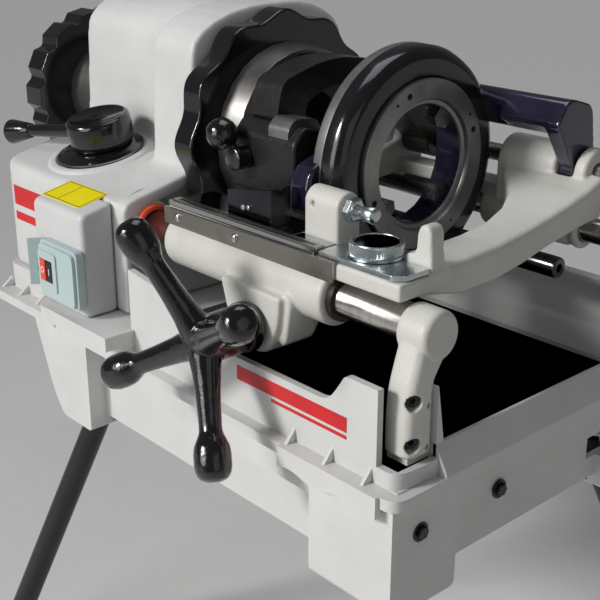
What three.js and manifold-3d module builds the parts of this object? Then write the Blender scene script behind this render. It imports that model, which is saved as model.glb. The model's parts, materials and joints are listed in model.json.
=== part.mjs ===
// Pipe threading machine on four splayed legs, in millimetres, +Z up.
//
// The pipe lies along X: the headstock with its hollow spindle is on the left (-X), and the carriage
// with the cutter and the die head slides on two rails to its right. The front is -Y.
// Everything is drawn about the front rail: y = 0, z = 0 is the front rail's axis, and x = 0 is near
// the front pillar. The last lines move the whole machine so that its origin is on the floor, under
// the middle of its box.
import * as THREE from 'three';
import { mergeVertices } from 'three/addons/utils/BufferGeometryUtils.js';
import Module from 'manifold-3d';

const wasm = await Module();
wasm.setup();

// ---------------------------------------------------------------- driving dimensions
const GAP = 0.4;                 // between pieces that touch
const RUNNING = 0.35;            // radial play of turning and sliding fits
const FLOOR_Z = -700;

const FRONT_RAIL = { r: 20, x0: -446, x1: 40 };
const REAR_RAIL = { y: 345, z: 17.5, r: 15, x0: -446, x1: 66 };
const SPINDLE = { y: 188, z: 99, x0: -834, tubeR: 69 };
const PIVOT = { y: 345, z: 87, r: 11 };

const BED = {
  x1: 70, y0: -80, y1: 420, platformX: -400, platformTop: -114, wallY: -64, wall: 8,
  flangeTop: -150, flangeBottom: -163, tubX1: 50, tubY1: 366, tubFloor: -196, skirtBottom: -278,
};
// The platform under the headstock: its front edge swings out under the switch box.
const PLATFORM = { x0: -748, yLeft: -50, yRight: -107, bendX0: -604, bendX1: -544, ledgeY: -76, plate: 10 };
const HEAD = { x0: -750, x1: -436, yFront: -42, yBack: 392, zBase: BED.platformTop + GAP, wall: 12 };
const TOP_SLOPE = THREE.MathUtils.degToRad(12.5);
const BOX = { x0: -577, x1: -459, y0: -90, yBack: HEAD.yFront - GAP, zTop: 33 };
const SWITCH = { x0: -545, x1: -457, y0: -106, z0: -100, z1: -22 };

const BORE_R = 62;               // passes a 4-inch pipe, 114 mm outside
const WHEEL = { x0: -431, x1: -389, r: 158, lobes: 12 };
const CARRIAGE_REAR_X0 = -328;   // the carriage's rear parts stay right of the chuck
const DIE = { x0: -196, x1: -150, rOuter: 137, rFace: 101, rBore: 70 };
const DIE_HUB = { x0: -56, x1: -33, r: 25 };
const HAND = { x: -184, z: -48, hubY: -112, ballY: -150, ballR: 120.7, firstArm: 29.5, arms: 4 };
const SLEEVE = { x0: -367, x1: -88, r: 34 };
const DECK = { x0: -367, x1: 15, y0: -24, y1: 56, z0: 27, z1: 50 };

const FEED_MODULE = 2.5;
const FEED_TEETH = 24;
const GEAR_MODULE = 5;
const SPINDLE_TEETH = 40;
const LAY_TEETH = 12;
const LAY_WHEEL_TEETH = 27;
const MOTOR_TEETH = 9;
const MOTOR_MODULE = 4;
const LAY_SHAFT_R = 14;
const MOTOR_SHAFT_R = 9;

// ---------------------------------------------------------------- finishes
function finish(color, roughness, metalness) {
  return () => new THREE.MeshStandardMaterial({ color, roughness, metalness });
}
const PAINT = finish(0xc6c6c4, 0.55, 0.0);
const SHINY_BLACK = finish(0x0c0c0e, 0.15, 0.0);
const DARK_IRON = finish(0x1b1c20, 0.45, 0.3);
const GROUND_STEEL = finish(0xa9a7a2, 0.28, 1.0);
const STAINLESS = finish(0x9b968c, 0.35, 1.0);
const ZINC = finish(0xc3cacb, 0.3, 1.0);
const CAST_STEEL = finish(0x6d6a66, 0.45, 0.8);
const TUBE_BLACK = finish(0x141414, 0.4, 0.2);
const RUBBER = finish(0x222222, 0.85, 0.0);
const SEAL_RED = finish(0xd8361c, 0.5, 0.0);
const SWITCH_BLUE = finish(0xb4c8c8, 0.5, 0.0);
const BUTTON_RED = finish(0xd93a20, 0.4, 0.0);
const BUTTON_BLACK = finish(0x1a1a1a, 0.4, 0.0);
const BRONZE = finish(0x5a4a3a, 0.5, 0.7);

// ---------------------------------------------------------------- solids
const ALONG_X = new THREE.Matrix4().makeBasis(
  new THREE.Vector3(0, 1, 0), new THREE.Vector3(0, 0, 1), new THREE.Vector3(1, 0, 0));
const ALONG_Y = new THREE.Matrix4().makeBasis(
  new THREE.Vector3(0, 0, 1), new THREE.Vector3(1, 0, 0), new THREE.Vector3(0, 1, 0));
const ALONG = { x: ALONG_X, y: ALONG_Y, z: new THREE.Matrix4() };

// A closed three.js geometry as a manifold solid.
function solid(geometry) {
  const bare = geometry.clone();
  bare.deleteAttribute('normal');
  bare.deleteAttribute('uv');
  const welded = mergeVertices(bare, 1e-4);
  return new wasm.Manifold(new wasm.Mesh({
    numProp: 3,
    vertProperties: new Float32Array(welded.attributes.position.array),
    triVerts: new Uint32Array(welded.index.array),
  }));
}

function box(x0, x1, y0, y1, z0, z1) {
  const geometry = new THREE.BoxGeometry(x1 - x0, y1 - y0, z1 - z0);
  geometry.translate((x0 + x1) / 2, (y0 + y1) / 2, (z0 + z1) / 2);
  return solid(geometry);
}

function flatPoints(pairs) {
  return pairs.map(([a, b]) => new THREE.Vector2(a, b));
}

// An outline pushed along one axis: X takes (y, z), Y takes (z, x) and Z takes (x, y) points.
function prism(axis, points, from, to) {
  const shape = Array.isArray(points) ? new THREE.Shape(flatPoints(points)) : points;
  const settings = { depth: to - from, bevelEnabled: false, curveSegments: 10 };
  const geometry = new THREE.ExtrudeGeometry(shape, settings);
  geometry.translate(0, 0, from);
  geometry.applyMatrix4(ALONG[axis]);
  return solid(geometry);
}

// A round bar along one axis; a and b are its centre in the outline's plane, as in prism.
function bar(axis, a, b, r, from, to, segments = 22) {
  const geometry = new THREE.CylinderGeometry(r, r, to - from, segments);
  geometry.rotateX(Math.PI / 2);
  geometry.translate(a, b, (from + to) / 2);
  geometry.applyMatrix4(ALONG[axis]);
  return solid(geometry);
}

// A turned piece along one axis: its profile is [place along the axis, radius] points.
function turned(axis, a, b, profile, segments = 22) {
  const points = profile.map(([along, r]) => new THREE.Vector2(r, along));
  const geometry = new THREE.LatheGeometry(points, segments);
  geometry.rotateX(Math.PI / 2);
  geometry.translate(a, b, 0);
  geometry.applyMatrix4(ALONG[axis]);
  return solid(geometry);
}

function tubeRing(axis, a, b, rOuter, rInner, from, to, segments = 28) {
  const outer = bar(axis, a, b, rOuter, from, to, segments);
  return outer.subtract(bar(axis, a, b, rInner, from - 1, to + 1, segments));
}

function ball(x, y, z, r, segments = 14) {
  const geometry = new THREE.SphereGeometry(r, segments, segments / 2);
  geometry.translate(x, y, z);
  return solid(geometry);
}

// A rod between two points, thicker or thinner at its far end.
function rod(start, end, rStart, rEnd = rStart, segments = 14) {
  return turnedBetween(start, end, [[0, 0], [0, rStart], [1, rEnd], [1, 0]], segments);
}

// A turned piece between two points; its profile is [share of the way, radius] points.
function turnedBetween(start, end, profile, segments) {
  const a = new THREE.Vector3(...start);
  const b = new THREE.Vector3(...end);
  const length = a.distanceTo(b);
  const points = profile.map(([share, r]) => new THREE.Vector2(r, share * length));
  const geometry = new THREE.LatheGeometry(points, segments);
  const direction = b.clone().sub(a).normalize();
  geometry.applyQuaternion(new THREE.Quaternion().setFromUnitVectors(new THREE.Vector3(0, 1, 0), direction));
  geometry.translate(...a);
  return solid(geometry);
}

function join(...pieces) {
  return pieces.reduce((sum, piece) => sum.add(piece));
}

function cut(body, ...tools) {
  return tools.reduce((rest, tool) => rest.subtract(tool), body);
}

// The solid turned about an axis line parallel to X through (y, z).
function turnAboutX(body, y, z, angle) {
  return moved(body, new THREE.Matrix4().makeTranslation(0, y, z)
    .multiply(new THREE.Matrix4().makeRotationX(angle))
    .multiply(new THREE.Matrix4().makeTranslation(0, -y, -z)));
}

function moved(body, matrix) {
  return solid(geometryOf(body).applyMatrix4(matrix));
}

function geometryOf(body) {
  const mesh = body.getMesh();
  const geometry = new THREE.BufferGeometry();
  geometry.setAttribute('position', new THREE.BufferAttribute(new Float32Array(mesh.vertProperties), 3));
  geometry.setIndex(new THREE.BufferAttribute(new Uint32Array(mesh.triVerts), 1));
  return geometry;
}

const machine = new THREE.Group();

function part(name, body, material) {
  const geometry = geometryOf(body);
  geometry.computeVertexNormals();
  const mesh = new THREE.Mesh(geometry, material());
  mesh.name = name;
  machine.add(mesh);
}

// Gear outline with straight-sided teeth a little thinner than the gaps.
// phase is the angle of the middle of one tooth.
function gearShape(module, teeth, phase, centreA, centreB) {
  const pitch = module * teeth / 2;
  const root = pitch - 1.2 * module;
  const tip = pitch + 0.9 * module;
  const step = 2 * Math.PI / teeth;
  const shape = [];
  for (let i = 0; i < teeth; i += 1) {
    const middle = phase + i * step;
    const corners = [[root, -0.31], [tip, -0.11], [tip, 0.11], [root, 0.31]];
    for (const [r, share] of corners) {
      const angle = middle + share * step;
      shape.push([centreA + r * Math.cos(angle), centreB + r * Math.sin(angle)]);
    }
  }
  return shape;
}

// ---------------------------------------------------------------- bed
function bedCasting() {
  const { x1, y0, y1, platformX, platformTop, wallY, wall, flangeTop, flangeBottom } = BED;
  const { tubX1, tubY1, tubFloor } = BED;
  const flange = prism('z', roundedCorners(platformX, x1, y0, y1, 16), flangeBottom, flangeTop);
  const tub = box(platformX, tubX1 + wall, wallY, tubY1 + wall, tubFloor - wall, flangeTop);
  const rightRim = prism('y', [
    [flangeTop - 2, x1], [flangeTop + 4, x1], [-117, tubX1 + 4], [-117, tubX1], [flangeTop - 2, tubX1],
  ], LEDGE.y1, y1 - 6);
  const frontWall = prism('y', frontWallOutline(), wallY, wallY + wall);
  const backWall = prism('x', [
    [tubY1, flangeTop - 2], [tubY1, -150], [tubY1 + 14, -122], [tubY1 + 18, -118],
    [tubY1 + 30, -85], [tubY1 + 34, -62], [tubY1 + 46, -62], [tubY1 + 46, flangeTop - 2],
  ], platformX, x1 - 4);
  let body = join(flange, platform(), tub, rightRim, frontWall, backWall, skirt());
  body = cut(body, box(platformX + wall, tubX1, wallY + wall, tubY1, tubFloor, -50), ...legSockets());
  for (const gussetX of [-96, -38, 18]) {
    const outline = [[wallY + 1, -133], [wallY + 1, flangeTop - 2], [y0 + 1, flangeTop - 2]];
    body = body.add(prism('x', outline, gussetX, gussetX + 5));
  }
  body = join(body, frontLip(), cornerLedge());
  // the opening under the gears
  return cut(body, box(-640, -500, 60, 300, flangeBottom - 1, platformTop + 1));
}

// Plan of the platform with its front edge at yRight on the right side, drawn inside by inset.
function platformPlan(yRight, inset = 0) {
  const { x0, yLeft, bendX0, bendX1 } = PLATFORM;
  const left = x0 + inset;
  const right = BED.platformX + BED.wall - inset;
  const back = BED.y1 - inset;
  const corner = 34;
  const middle = (bendX0 + bendX1) / 2;
  const shape = new THREE.Shape();
  shape.moveTo(left, back);
  shape.lineTo(left, yLeft + corner);
  shape.absarc(x0 + corner, yLeft + corner, corner - inset, Math.PI, 1.5 * Math.PI);
  shape.lineTo(bendX0, yLeft + inset);
  shape.bezierCurveTo(middle, yLeft + inset, middle, yRight + inset, bendX1, yRight + inset);
  shape.lineTo(right, yRight + inset);
  shape.lineTo(right, back);
  return shape;
}

// A plate on walls, open underneath, with a low ledge and three gussets at its front left.
function platform() {
  const { x0, yLeft, yRight, bendX0, ledgeY, plate } = PLATFORM;
  const { y0, platformTop, flangeTop, flangeBottom } = BED;
  const shelf = prism('z', platformPlan(yRight), platformTop - 18, platformTop);
  const walls = prism('z', platformPlan(y0), flangeBottom, platformTop - 17);
  const hollow = prism('z', platformPlan(y0, plate), flangeBottom - 1, platformTop - plate);
  const ledge = prism('z', roundedLeft(x0 + 4, bendX0 + 30, ledgeY, yLeft + 20, 24), flangeBottom, flangeTop);
  let body = join(cut(join(shelf, walls), hollow), ledge);
  for (let i = 0; i < 3; i += 1) {
    const gussetX = x0 + 12 + i * 48;
    const outline = [[yLeft + 1, flangeTop + 14], [yLeft + 1, flangeTop - 1], [yLeft - 18, flangeTop - 1]];
    body = body.add(prism('x', outline, gussetX, gussetX + 6));
  }
  return body;
}

function roundedLeft(x0, x1, y0, y1, r) {
  const shape = new THREE.Shape();
  shape.moveTo(x1, y1);
  shape.lineTo(x0, y1);
  shape.lineTo(x0, y0 + r);
  shape.absarc(x0 + r, y0 + r, r, Math.PI, 1.5 * Math.PI);
  shape.lineTo(x1, y0);
  return shape;
}

// The rounded right front corner where the front pillar stands on a raised pad, with a fin behind it.
const LEDGE = { x0: 20, x1: 58, y1: -5.4, r: 30, z: -131 };

function cornerLedge() {
  const { x0, x1, y1, r, z } = LEDGE;
  const { wallY, flangeTop } = BED;
  const plan = new THREE.Shape();
  plan.moveTo(x0, y1);
  plan.lineTo(x0, wallY);
  plan.lineTo(x1 - r, wallY);
  plan.absarc(x1 - r, wallY + r, r, -Math.PI / 2, 0);
  plan.lineTo(x1, y1);
  const pad = box(x0 + 2, PILLAR.x1 - 8, PILLAR.y0 + 8, y1 + 1, z - 1, PILLAR.bottom - GAP);
  const fin = prism('x', [[y1, -52], [y1 + 11, -116], [y1 + 11, z - 1], [y1, z - 1]], 44, BED.tubX1 + 4);
  const step = box(x0, x1 - 8, y1 - 1, y1 + 11, flangeTop - 2, z);
  return join(prism('z', plan, flangeTop - 2, z), pad, fin, step);
}

function roundedCorners(x0, x1, y0, y1, r) {
  const shape = new THREE.Shape();
  shape.moveTo(x0, y0);
  shape.lineTo(x1 - r, y0);
  shape.absarc(x1 - r, y0 + r, r, -Math.PI / 2, 0);
  shape.lineTo(x1, y1 - r);
  shape.absarc(x1 - r, y1 - r, r, 0, Math.PI / 2);
  shape.lineTo(x0, y1);
  return shape;
}

// The front splash wall: high beside the headstock, dipping past the handwheel and up again at the pillar.
function frontWallOutline() {
  const { platformX, flangeTop } = BED;
  const top = [
    [-396, -36], [-345, -43], [-325, -46], [-319, -54], [-305, -68], [-288, -78], [-268, -83],
    [-52, -83], [-38, -77], [-28, -64], [-20, -48], [28, -48],
  ];
  const outline = top.map(([x, z]) => [z, x]);
  return [[flangeTop - 2, platformX + 1], ...outline, [flangeTop - 2, 28]];
}

// The deeper lip of the flange below the right half of the front wall, with its wavy lower edge.
function frontLip() {
  const { y0, x1, flangeTop } = BED;
  const points = [[flangeTop, -98], [flangeTop, x1 - 22]];
  const waves = 16;
  for (let i = 0; i <= waves; i += 1) {
    const share = i / waves;
    const x = x1 - 22 + (-98 - x1 + 22) * share;
    points.push([flangeTop - 24 - 3 * Math.sin(share * 4 * Math.PI), x]);
  }
  return prism('y', points, y0 - 5, y0 + 3);
}

const LEG_POSTS = [[-72, 28], [312, 412]];

// Cuts that hollow the posts towards the middle of the skirt, and the slanting sockets of the four legs.
function legSockets() {
  const { flangeBottom, wall } = BED;
  const cuts = [];
  for (const [[y0, y1], signY] of [[LEG_POSTS[0], -1], [LEG_POSTS[1], 1]]) {
    const from = signY < 0 ? y0 + wall : y0 - 20;
    const to = signY < 0 ? y1 + 20 : y1 - wall;
    cuts.push(box(-576, -508, from, to, -250, flangeBottom - wall));
    cuts.push(box(-54, 52, from, to, -250, -204 - wall));
    for (const signX of [-1, 1]) {
      const [top, bottom] = legEnds(signX, signY, -258, -310);
      cuts.push(rod(top, bottom, LEG.r + GAP, LEG.r + GAP, 16));
    }
  }
  return cuts;
}

// The hollow skirt below the tub, open underneath, with a thick post at each corner for a leg.
function skirt() {
  const { flangeBottom, skirtBottom, wall } = BED;
  const top = flangeBottom + 2;
  const plateUnder = BED.platformTop - PLATFORM.plate + 1;
  const shell = cut(box(-606, 40, -45, 368, skirtBottom, top),
    box(-598, 32, -37, 360, skirtBottom - 1, top + 1));
  const ribs = cut(box(-606, BED.platformX + 2, -45, 368, top - 1, plateUnder),
    box(-598, BED.platformX + 3, -37, 360, top - 2, plateUnder + 1));
  const pieces = [shell, ribs];
  for (const [y0, y1] of LEG_POSTS) {
    pieces.push(prism('x', [
      [y0, top], [y0, skirtBottom - 17], [y1, skirtBottom - 17], [y1, top],
    ], -62, 60));
    pieces.push(prism('y', [
      [top, -634], [top, -500], [skirtBottom - 17, -500], [skirtBottom - 17, -571], [-266, -593],
    ], y0, y1));
  }
  return join(...pieces);
}

function chipTray() {
  const { platformX, wall, wallY, tubX1, tubY1, tubFloor } = BED;
  const x0 = platformX + wall + 2;
  const outer = box(x0, tubX1 - 2, wallY + wall + 2, tubY1 - 2, tubFloor + GAP, -154);
  return cut(outer, box(x0 + 3, tubX1 - 5, wallY + wall + 5, tubY1 - 5, tubFloor + 6, -100));
}

// ---------------------------------------------------------------- legs
const LEG_SPLAY = 0.3;           // sideways run for each unit of height, both ways
const LEG = { topZ: -268, xLeft: -532, xRight: 0, yFront: -24, yBack: 364, r: 17, footHeight: 26 };

function legEnds(signX, signY, zTop, zBottom) {
  const x = signX < 0 ? LEG.xLeft : LEG.xRight;
  const y = signY < 0 ? LEG.yFront : LEG.yBack;
  const at = (z) => [x + signX * LEG_SPLAY * (LEG.topZ - z), y + signY * LEG_SPLAY * (LEG.topZ - z), z];
  return [at(zTop), at(zBottom)];
}

function legs() {
  const corners = { front_left: [-1, -1], front_right: [1, -1], rear_left: [-1, 1], rear_right: [1, 1] };
  for (const [name, [signX, signY]] of Object.entries(corners)) {
    const [top, bottom] = legEnds(signX, signY, -262, FLOOR_Z - 30);
    const [footTop] = legEnds(signX, signY, FLOOR_Z + LEG.footHeight, FLOOR_Z);
    const slab = box(-2000, 2000, -2000, 2000, FLOOR_Z - 60, FLOOR_Z);
    const leg = join(rod(top, bottom, LEG.r, LEG.r, 12), rod(footTop, bottom, LEG.r + 4, LEG.r + 5, 12));
    part(`leg_${name}`, cut(leg, slab), TUBE_BLACK);
  }
}

// ---------------------------------------------------------------- headstock
function headProfile(inset, shoulderY) {
  const { yFront, yBack, zBase } = HEAD;
  const slope = Math.tan(TOP_SLOPE);
  const front = yFront + inset;
  const topZ = 33 - inset;
  const points = [
    [front, zBase - (inset ? 5 : 0)],
    [front, topZ],
    [shoulderY + inset, topZ + (shoulderY - yFront) * slope],
    [shoulderY + inset + 8, 205 - inset],
  ];
  const crownBack = 330;
  const crownSteps = 6;
  for (let i = 1; i < crownSteps; i += 1) {
    const angle = Math.PI * (1 - i / crownSteps);
    const middle = (shoulderY + 8 + crownBack) / 2;
    const half = (crownBack - shoulderY - 8) / 2 - inset;
    points.push([middle + half * Math.cos(angle), 205 - inset + 56 * Math.sin(angle)]);
  }
  points.push([crownBack - inset, 205 - inset], [yBack - inset, 110 - inset]);
  points.push([yBack - inset, zBase - (inset ? 5 : 0)]);
  return points;
}

const LEVER_SHOULDER = 108;
const GEAR_SHOULDER = 64;
const GEAR_CASE_X0 = -520;

function headstock() {
  const { x0, x1, yFront, yBack, zBase, wall } = HEAD;
  let shell = join(prism('x', headProfile(0, LEVER_SHOULDER), x0, x1),
    prism('x', headProfile(0, GEAR_SHOULDER), GEAR_CASE_X0, x1));
  const corner = new THREE.Shape();
  corner.moveTo(x1, yFront - 20);
  corner.lineTo(x0 + 42, yFront - 0.01);
  corner.absarc(x0 + 42, yFront + 42, 42, -Math.PI / 2, -Math.PI, true);
  corner.lineTo(x0, yBack + 10);
  corner.lineTo(x1, yBack + 10);
  shell = shell.intersect(prism('z', corner, zBase - 10, 300));
  shell = cut(shell, prism('x', headProfile(wall, LEVER_SHOULDER), x0 + wall, x1 - wall),
    prism('x', headProfile(wall, GEAR_SHOULDER), GEAR_CASE_X0 + wall, x1 - wall));
  // front rail and rear rail sockets, then the two spindle bearing bosses
  shell = join(shell,
    bar('x', 0, 0, 32, x1 - 34, x1, 16), bar('x', REAR_RAIL.y, REAR_RAIL.z, 26, x1 - 26, x1, 16),
    bar('x', SPINDLE.y, SPINDLE.z, 80, x1 - 30, x1, 24), bar('x', SPINDLE.y, SPINDLE.z, 80, x0, x0 + 26, 24));
  return cut(shell,
    bar('x', 0, 0, FRONT_RAIL.r + RUNNING, x1 - 12, x1 + 5, 20),
    bar('x', REAR_RAIL.y, REAR_RAIL.z, REAR_RAIL.r + RUNNING, x1 - 12, x1 + 5, 16),
    bar('x', SPINDLE.y, SPINDLE.z, SPINDLE.tubeR + 1, x0 - 5, x1 + 5, 28),
    bar('x', LAY.y, LAY.z, LAY_SHAFT_R + 0.7, x0 + 4, x0 + 20, 14),
    bar('x', LAY.y, LAY.z, LAY_SHAFT_R + 0.7, x1 - 20, x1 - 4, 14),
    bar('x', MOTOR_AXIS.y, MOTOR_AXIS.z, MOTOR_SHAFT_R + 0.7, x0 - 5, x0 + 20, 14),
    bar('x', MOTOR_AXIS.y, MOTOR_AXIS.z, MOTOR_SHAFT_R + 0.7, x1 - 20, x1 - 4, 14));
}

const LEVER = { x: -614, y: 50, hubR: 45, swept: THREE.MathUtils.degToRad(14) };
const LEVER_FLANGE = { x: LEVER.x - 7, y: -3, r: 61 };

// A solid drawn over a level plane at y = 0, z = 0, laid on the headstock's sloping top at the lever.
function onTopSlope(body) {
  const rise = 33 + (LEVER.y - HEAD.yFront) * Math.tan(TOP_SLOPE);
  return moved(body, new THREE.Matrix4().makeTranslation(0, LEVER.y, rise + 1.2)
    .multiply(new THREE.Matrix4().makeRotationX(TOP_SLOPE)));
}

function leverFlange() {
  const { x, y, r } = LEVER_FLANGE;
  return onTopSlope(turned('z', x, y, [[GAP, 0], [GAP, r], [6, r], [12, r - 7], [12, 0]], 28));
}

// A point on the lever's arm: reach from the turning axis, height over the sloping top.
function alongArm(reach, height) {
  return [LEVER.x - reach * Math.cos(LEVER.swept), -reach * Math.sin(LEVER.swept), height];
}

function speedLever() {
  const r = LEVER.hubR;
  const hub = turned('z', LEVER.x, 0, [
    [12 + GAP, 0], [12 + GAP, r - 3], [20, r], [48, r], [54, r - 5], [54, 0],
  ], 24);
  return onTopSlope(join(hub, rod(alongArm(30, 29), alongArm(139, 21), 12, 9, 12)));
}

function leverKnob() {
  return onTopSlope(rod(alongArm(139.5, 21), alongArm(183, 16), 11, 18, 16));
}

// ---------------------------------------------------------------- switch
function switchBox() {
  const { x0, x1, y0, yBack, zTop } = BOX;
  const zBase = HEAD.zBase;
  const drop = (yBack - y0) * Math.tan(TOP_SLOPE);
  const outer = prism('x', [[y0, zBase], [yBack, zBase], [yBack, zTop], [y0, zTop - drop]], x0, x1);
  const hollow = prism('x', [
    [y0 + 3, zBase + 3], [yBack + 1, zBase + 3], [yBack + 1, zTop - 4], [y0 + 3, zTop - drop - 4],
  ], x0 + 3, x1 - 3);
  return cut(outer, hollow, box(-538, -500, y0 - 5, y0 + 5, -84, -40));
}

const BUTTON = { z0: -74, z1: -46, red: -537, black: -521, width: 12.5, travel: 4 };

function switchHousing() {
  const { x0, x1, y0, z0, z1 } = SWITCH;
  const back = BOX.y0 - GAP;
  const rim = prism('y', [
    [z0, x0], [z0, x1 - 4], [z0 + 4, x1], [z1 - 4, x1], [z1, x1 - 4], [z1, x0],
  ], y0 + 4, back);
  const face = box(x0 + 3, x1 - 4, y0, y0 + 5, z0 + 3, z1 - 3);
  const pocketX1 = BUTTON.black + BUTTON.width + 1;
  const pocket = box(BUTTON.red - 1, pocketX1, y0 - 1, back - 4, BUTTON.z0 - 1, BUTTON.z1 + 1);
  const flap = [[x0 + 1, back], [x0 - 16, back - 22], [x0 - 16, back - 19], [x0 - 3, back]];
  const wing = prism('z', flap, z0 + 12, z1 - 2);
  return join(cut(join(rim, face), pocket), wing);
}

function button(x) {
  const { z0, z1, width } = BUTTON;
  return box(x, x + width, SWITCH.y0 - 2.5, SWITCH.y0 + 6, z0, z1);
}

// ---------------------------------------------------------------- spindle and gears
const LAY = gearPlace(SPINDLE, GEAR_MODULE * (SPINDLE_TEETH + LAY_TEETH) / 2, -50);
const MOTOR_AXIS = gearPlace(LAY, MOTOR_MODULE * (LAY_WHEEL_TEETH + MOTOR_TEETH) / 2, -60);

function gearPlace(from, distance, degrees) {
  const angle = THREE.MathUtils.degToRad(degrees);
  return { y: from.y + distance * Math.cos(angle), z: from.z + distance * Math.sin(angle), angle };
}

function spindleTube() {
  const { x0, y, z, tubeR } = SPINDLE;
  const x1 = WHEEL.x1 - 12;
  return turned('x', y, z, [
    [x0, BORE_R], [x0, tubeR], [-430, tubeR], [-430, 96], [x1, 96], [x1, BORE_R], [x0, BORE_R],
  ], 28);
}

function spindleGear() {
  const shape = gearShape(GEAR_MODULE, SPINDLE_TEETH, LAY.angle, SPINDLE.y, SPINDLE.z);
  return cut(prism('x', shape, -504, -476),
    bar('x', SPINDLE.y, SPINDLE.z, SPINDLE.tubeR + 1, -514, -466, 28));
}

function layshaft() {
  const pinionPhase = LAY.angle + Math.PI + Math.PI / LAY_TEETH;
  const pinion = prism('x', gearShape(GEAR_MODULE, LAY_TEETH, pinionPhase, LAY.y, LAY.z), -507, -473);
  const wheelTeeth = gearShape(MOTOR_MODULE, LAY_WHEEL_TEETH, MOTOR_AXIS.angle, LAY.y, LAY.z);
  const shaft = bar('x', LAY.y, LAY.z, LAY_SHAFT_R, HEAD.x0 + 5, HEAD.x1 - 5, 14);
  return join(pinion, prism('x', wheelTeeth, -530, -514), shaft);
}

function motorPinion() {
  const phase = MOTOR_AXIS.angle + Math.PI + Math.PI / MOTOR_TEETH;
  const { y, z } = MOTOR_AXIS;
  const gear = prism('x', gearShape(MOTOR_MODULE, MOTOR_TEETH, phase, y, z), -532, -512);
  return join(gear, bar('x', y, z, MOTOR_SHAFT_R, -786, HEAD.x1 - 5, 14));
}

// The scalloped hand wheel of the hammer chuck, turning on the spindle nose.
function hammerWheel() {
  const { x0, x1, r, lobes } = WHEEL;
  const outline = new THREE.Shape();
  const steps = lobes * 6;
  for (let i = 0; i < steps; i += 1) {
    const angle = 2 * Math.PI * i / steps;
    const reach = r - 5 + 5 * Math.cos(lobes * angle);
    const point = [SPINDLE.y + reach * Math.cos(angle), SPINDLE.z + reach * Math.sin(angle)];
    if (i === 0) outline.moveTo(...point);
    else outline.lineTo(...point);
  }
  const recess = bar('x', SPINDLE.y, SPINDLE.z, r - 24, x0 - 1, x1 - 14, 34);
  const rim = cut(prism('x', outline, x0 + 6, x1), recess);
  return cut(rim, bar('x', SPINDLE.y, SPINDLE.z, 97, x0, x1 + 1, 28));
}

function chuckNose() {
  const { y, z } = SPINDLE;
  let nose = turned('x', y, z, [
    [-402, BORE_R], [-402, 96], [-388, 96], [-388, 118], [-352, 112], [-352, BORE_R], [-402, BORE_R],
  ], 28);
  for (let i = 0; i < 3; i += 1) {
    const slot = box(-370, -351, y - 15 - GAP, y + 15 + GAP, z + 40, z + 106);
    nose = nose.subtract(turnAboutX(slot, y, z, i * 2 * Math.PI / 3));
  }
  return nose;
}

function chuckJaw(index) {
  const { y, z } = SPINDLE;
  const jaw = prism('x', [
    [y - 15, z + 100], [y - 15, z + 60], [y - 6, z + 50],
    [y + 6, z + 50], [y + 15, z + 60], [y + 15, z + 100],
  ], -370 + GAP, -350);
  return turnAboutX(jaw, y, z, index * 2 * Math.PI / 3);
}

const REAR_WHEEL = { x0: -858, x1: -814, r: 122, ribs: 14 };

function rearChuckWheel() {
  const { x0, x1, r, ribs } = REAR_WHEEL;
  const { y, z } = SPINDLE;
  const teeth = [];
  for (let i = 0; i < ribs; i += 1) {
    const middle = 2 * Math.PI * i / ribs;
    const half = Math.PI / ribs;
    for (const [reach, share] of [[r - 8, -0.9], [r, -0.5], [r, 0.5], [r - 8, 0.9]]) {
      const angle = middle + share * half;
      teeth.push([y + reach * Math.cos(angle), z + reach * Math.sin(angle)]);
    }
  }
  let wheel = cut(prism('x', teeth, x0, x1),
    bar('x', y, z, BORE_R, x0 - 1, x1 + 1, 28),
    bar('x', y, z, SPINDLE.tubeR + 1, SPINDLE.x0 - 2, x1 + 1, 28));
  for (let i = 0; i < 3; i += 1) {
    const slot = box(x0 - 1, x0 + 16, y - 12 - GAP, y + 12 + GAP, z + 40, z + 96);
    wheel = wheel.subtract(turnAboutX(slot, y, z, i * 2 * Math.PI / 3));
  }
  return wheel;
}

function rearJaw(index) {
  const { x0 } = REAR_WHEEL;
  const jaw = box(x0 - 6, x0 + 16 - GAP, SPINDLE.y - 12, SPINDLE.y + 12, SPINDLE.z + 52, SPINDLE.z + 90);
  return turnAboutX(jaw, SPINDLE.y, SPINDLE.z, index * 2 * Math.PI / 3);
}

// ---------------------------------------------------------------- motor
const MOTOR = { x0: -930, x1: HEAD.x0 - GAP, y: MOTOR_AXIS.y, z: MOTOR_AXIS.z, r: 62 };

function motorBody() {
  const { x0, x1, y, z, r } = MOTOR;
  const core = bar('x', y, z, r - 6, x0, x1, 20);
  const fins = [];
  const ribs = 16;
  for (let i = 0; i < ribs; i += 1) {
    const angle = 2 * Math.PI * i / ribs;
    const end = [y + r * Math.cos(angle), z + r * Math.sin(angle)];
    const side = [2 * Math.sin(angle), -2 * Math.cos(angle)];
    fins.push(prism('x', [
      [y + side[0], z + side[1]], [end[0] + side[0], end[1] + side[1]],
      [end[0] - side[0], end[1] - side[1]], [y - side[0], z - side[1]],
    ], x0 + 10, x1 - 24));
  }
  const face = bar('x', y, z, r, x1 - 14, x1, 20);
  return cut(join(core, ...fins, face), bar('x', y, z, MOTOR_SHAFT_R + 0.7, x1 - 40, x1 + 5, 14));
}

function fanCover() {
  const { x0, y, z, r } = MOTOR;
  return turned('x', y, z, [[x0 - 50, 0], [x0 - 50, r - 12], [x0 - 42, r], [x0 - GAP, r], [x0 - GAP, r - 3],
    [x0 - 40, r - 3], [x0 - 46, r - 14], [x0 - 46, 0]], 20);
}

// ---------------------------------------------------------------- rails and pillars
const TOOTH_PITCH = Math.PI * FEED_MODULE;

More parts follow.
